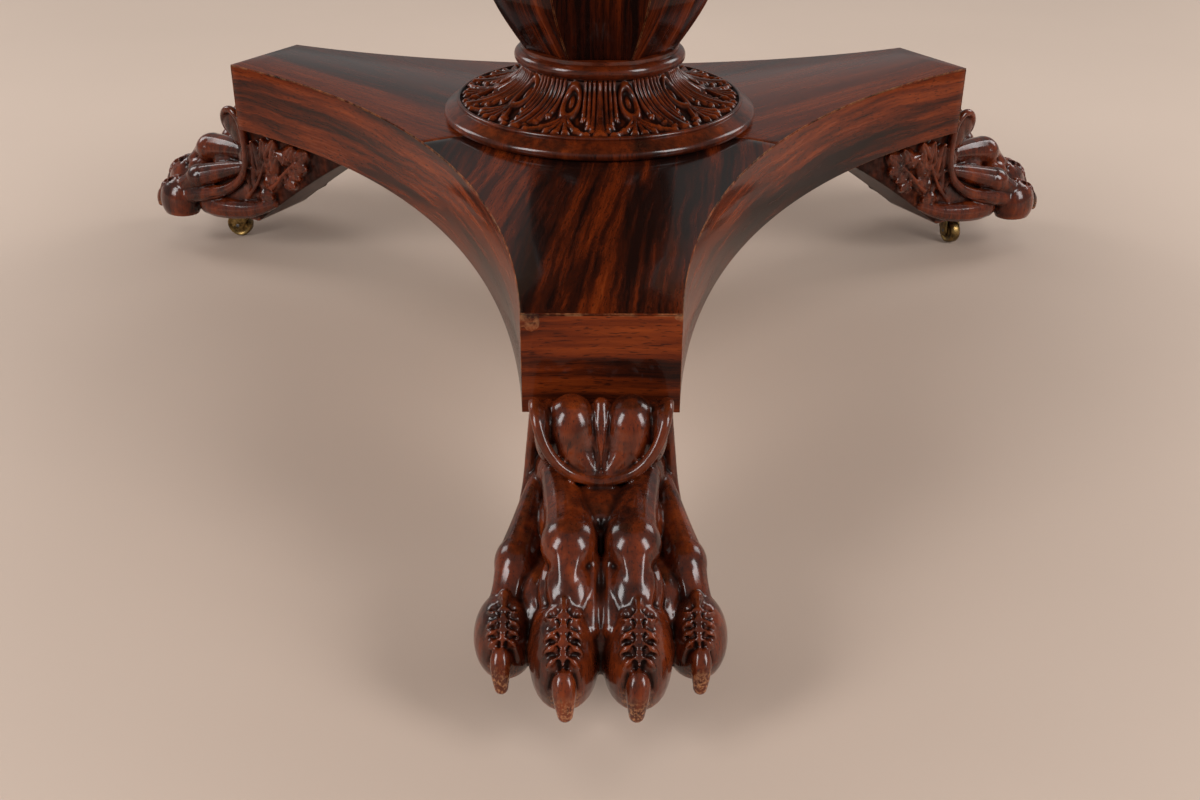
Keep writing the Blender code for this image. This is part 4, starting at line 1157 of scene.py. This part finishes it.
def stem_half(share):
    """Half-width of the stem at a share of its height: foot, belly, neck and lip."""
    base, top = STEM_LOW.z, STEM_HIGH.z
    foot, belly, neck, lip = 0.073, sizes().belly, 0.063, 0.078
    height = base + share * (top - base)
    widest, narrowest = base + 0.1, top - 0.034
    if height < widest:
        return foot + (belly - foot) * sin((height - base) / (widest - base) * pi / 2)
    if height < narrowest:
        return neck + (belly - neck) * (1 + cos((height - widest) / (narrowest - widest) * pi)) / 2
    return neck + (lip - neck) * (1 - cos((height - narrowest) / (top - narrowest) * pi / 2))


class TABLE_OT_stem(Operator):
    """Turn the neck ring and stem ring and veneer the stem's flats"""
    bl_idname = "table.stem"
    bl_label = "Stem"

    def execute(self, context):
        self.add_rings()
        for index in range(8):
            self.add_flat(index)
        return {"FINISHED"}

    def add_rings(self):
        fillet = 0.004
        radius, base, top = NECK_HIGH.x, NECK_LOW.z, NECK_HIGH.z
        bead = (top - base - fillet) / 2
        curve = arc((radius - bead, base + bead), bead, -90, 90, 18)
        cap = [(0.0802, top - fillet), (0.0802, top - 0.0008), (0.079, top)]
        turned("neck_ring_turned", [(BORE, base)] + curve + cap + [(BORE, top)], 128, "base", "neck_ring")
        radius, base, top = RING_HIGH.x, RING_LOW.z, RING_HIGH.z
        bead = (top - base - fillet) / 2
        curve = arc((radius - bead, base + fillet + bead), bead, -90, 90, 18)
        foot = [(BORE, base), (0.0776, base), (0.078, base + 0.0004), (0.078, base + fillet)]
        turned("stem_ring_turned", foot + curve + [(BORE, top)], 128, "base", "stem_ring")

    def add_flat(self, index):
        rows, columns = 56, 4
        let_go()
        bpy.ops.mesh.primitive_grid_add(x_subdivisions=columns, y_subdivisions=rows, size=1.0)
        sheet = added(f"stem_flat_{index + 1}")
        turn = Matrix.Rotation(index * pi / 4, 3, "Z")
        for vertex in sheet.data.vertices:
            across, share = 2 * vertex.co.x, vertex.co.y + 0.5
            half = stem_half(share)
            edge = half * tan(pi / 8) - GAP / 2
            height = STEM_LOW.z + share * (STEM_HIGH.z - STEM_LOW.z)
            vertex.co = turn @ Vector((half, across * edge, height))
        tidy_faces(sheet)
        wall = sheet.modifiers.new("veneer", "SOLIDIFY")
        wall.thickness = VENEER
        wall.offset = -1.0
        apply_all(sheet)
        upright = turn.inverted()
        grain = sheet.data.uv_layers.active or sheet.data.uv_layers.new(name="grain")
        for loop in sheet.data.loops:
            spot = upright @ sheet.data.vertices[loop.vertex_index].co
            grain.data[loop.index].uv = (spot.z, spot.y)
        veneer(sheet, rosewood(f"stem veneer rosewood {index + 1}", source="UV",
                               shift=(0.37 * index, 0.11 * index, 0.0), depth=0.06, waver=0.006),
               sizes().arris * FINE_ARRIS, angle=60.0)
        fit(sheet, "base", "rosewood_veneer", f"stem_veneer_{index + 1}")


# Top


class TABLE_OT_top(Operator):
    """Veneer the round top and run its moulding"""
    bl_idname = "table.top"
    bl_label = "Top"

    def execute(self, context):
        rim = LEAF_HIGH.x
        disc = slab("top_veneer_matched", arc((0.0, 0.0), rim, 0, 360, 180)[:-1], LEAF_LOW.z, LEAF_HIGH.z)
        soften(disc, width=0.0003)
        polish(disc, rosewood("top rosewood", turn=(0, 0, radians(28)), matched=True, depth=-0.01))
        fit(disc, "top", "rosewood_veneer", "top_veneer")
        radius, low, high = MOULDING_HIGH.x, MOULDING_LOW.z, MOULDING_HIGH.z
        nose, inner = 0.011, rim + GAP
        curve = arc((radius - nose, high - nose), nose, -90, 90, 20)
        foot = [(inner, low), (radius - nose - 0.0006, low), (radius - nose, low + 0.0006)]
        lip = [(inner + 0.0004, high), (inner, high - 0.0004)]
        turned("top_moulding_run", foot + curve + lip, 240, "top", "top_moulding")
        return {"FINISHED"}


class TABLE_OT_inner(Operator):
    """Finish the carcase, the ironwork and the slide bolt"""
    bl_idname = "table.inner"
    bl_label = "Carcase and fittings"

    def execute(self, context):
        slots = {part["node"]: part["material_slot"] for part in frame["record"]["subparts"]}
        across = {"bearer_right", "bearer_left", "block"}
        for node, item in frame["nodes"].items():
            if item.hide_render:
                continue
            slot = slots[node]
            if slot == "carcase_wood" and node in across:
                finish = made("carcase wood lengthwise", deal, (0.0, 0.0, radians(90)))
            elif slot == "carcase_wood":
                finish = made("carcase wood", deal, (0.0, 0.0, 0.0))
            elif slot == "brass":
                finish = tarnished_brass()
            elif slot == "iron":
                finish = dark_iron()
            else:
                raise RuntimeError(f"{node} has no finish")
            item.data.materials.clear()
            item.data.materials.append(finish)
        return {"FINISHED"}


# Stage


# Lights: place, aim, width and height, and share of the side lights' power
LIGHTS = [
    ("left", (-3.0, -2.2, 2.05), (0.0, -0.35, 0.2), (1.2, 2.2), 1.0),
    ("rear_left", (-3.0, 1.6, 2.0), (0.0, 0.1, 0.2), (1.3, 1.8), 0.4),
    ("right", (3.0, -2.2, 2.05), (0.0, -0.35, 0.2), (1.2, 2.2), 1.0),
    ("rear_right", (3.0, 1.6, 2.0), (0.0, 0.1, 0.2), (1.3, 1.8), 0.4),
    ("over", (0.0, 0.2, 3.0), (0.0, -0.2, 0.0), (2.2, 1.6), 0.35),
]


class TABLE_OT_stage(Operator):
    """Set the floor, the lights and the camera"""
    bl_idname = "table.stage"
    bl_label = "Stage"

    def execute(self, context):
        stage = context.scene.table_stage
        let_go()
        bpy.ops.mesh.primitive_circle_add(vertices=96, radius=30.0, fill_type="NGON", location=(0, 0, 0))
        floor = added("floor")
        ground = Finish("pale floor")
        mottle = ground.noise(ground.add("TexCoord").outputs["Object"], 2.0, 3.0)
        colour = ground.ramp(mottle, [(0.3, shade(stage.floor, 0.97)), (0.7, stage.floor)])
        ground.give(Base_Color=colour, Roughness=0.65)
        floor.data.materials.append(ground.material)
        for name, place, aim, size, share in LIGHTS:
            self.add_light(f"soft_light_{name}", place, aim, size, stage.key * share)
        self.add_air(context, stage)
        self.add_camera(context, stage)
        context.scene.view_settings.view_transform = "Standard"
        return {"FINISHED"}

    def add_light(self, name, place, aim, size, power):
        bpy.ops.object.light_add(type="AREA", location=place)
        lamp = added(name)
        lamp.rotation_euler = (Vector(aim) - Vector(place)).to_track_quat("-Z", "Y").to_euler()
        lamp.data.shape = "RECTANGLE"
        lamp.data.size, lamp.data.size_y = size
        lamp.data.energy = power

    def add_air(self, context, stage):
        world = bpy.data.worlds.new("air")
        context.scene.world = world
        world.use_nodes = True
        light = world.node_tree.nodes["Background"]
        light.inputs["Color"].default_value = (1.0, 0.985, 0.96, 1.0)
        light.inputs["Strength"].default_value = stage.air

    def add_camera(self, context, stage):
        bpy.ops.object.camera_add(location=stage.eye)
        camera = added("camera")
        yaw, roll = Matrix.Rotation(-stage.yaw, 3, "Z"), Matrix.Rotation(stage.roll, 3, "Z")
        camera.rotation_euler = (yaw @ Matrix.Rotation(pi / 2 - stage.pitch, 3, "X") @ roll).to_euler()
        camera.data.sensor_width = 36.0
        camera.data.lens = stage.lens
        camera.data.shift_y = -stage.drop
        context.scene.camera = camera


class TABLE_PT_pieces(Panel):
    """Buttons for every piece of the table"""
    bl_label = "Centre table"
    bl_idname = "TABLE_PT_pieces"
    bl_space_type = "VIEW_3D"
    bl_region_type = "UI"
    bl_category = "Table"

    def draw(self, context):
        for operator in OPERATORS:
            self.layout.operator(operator.bl_idname)
        for group in (context.scene.table_sizes, context.scene.table_finish, context.scene.table_stage):
            for key in group.__annotations__:
                self.layout.prop(group, key)


GROUPS = {"table_sizes": TableSizes, "table_finish": TableFinish, "table_stage": TableStage}
OPERATORS = [TABLE_OT_platform, TABLE_OT_paws, TABLE_OT_castors, TABLE_OT_collar, TABLE_OT_stem, TABLE_OT_top,
             TABLE_OT_inner, TABLE_OT_stage]


def register():
    for item in [*GROUPS.values(), *OPERATORS, TABLE_PT_pieces]:
        bpy.utils.register_class(item)
    for key, group in GROUPS.items():
        setattr(bpy.types.Scene, key, PointerProperty(type=group))


def unregister():
    for key in GROUPS:
        delattr(bpy.types.Scene, key)
    for item in reversed([*GROUPS.values(), *OPERATORS, TABLE_PT_pieces]):
        bpy.utils.unregister_class(item)


def main():
    register()
    for name in ("Cube", "Light", "Camera"):
        if name in bpy.data.objects:
            bpy.data.objects.remove(bpy.data.objects[name])
    bpy.ops.table.platform()
    bpy.ops.table.paws()
    bpy.ops.table.castors()
    bpy.ops.table.collar()
    bpy.ops.table.stem()
    bpy.ops.table.top()
    bpy.ops.table.inner()
    bpy.ops.table.stage()


if __name__ == "__main__":
    main()
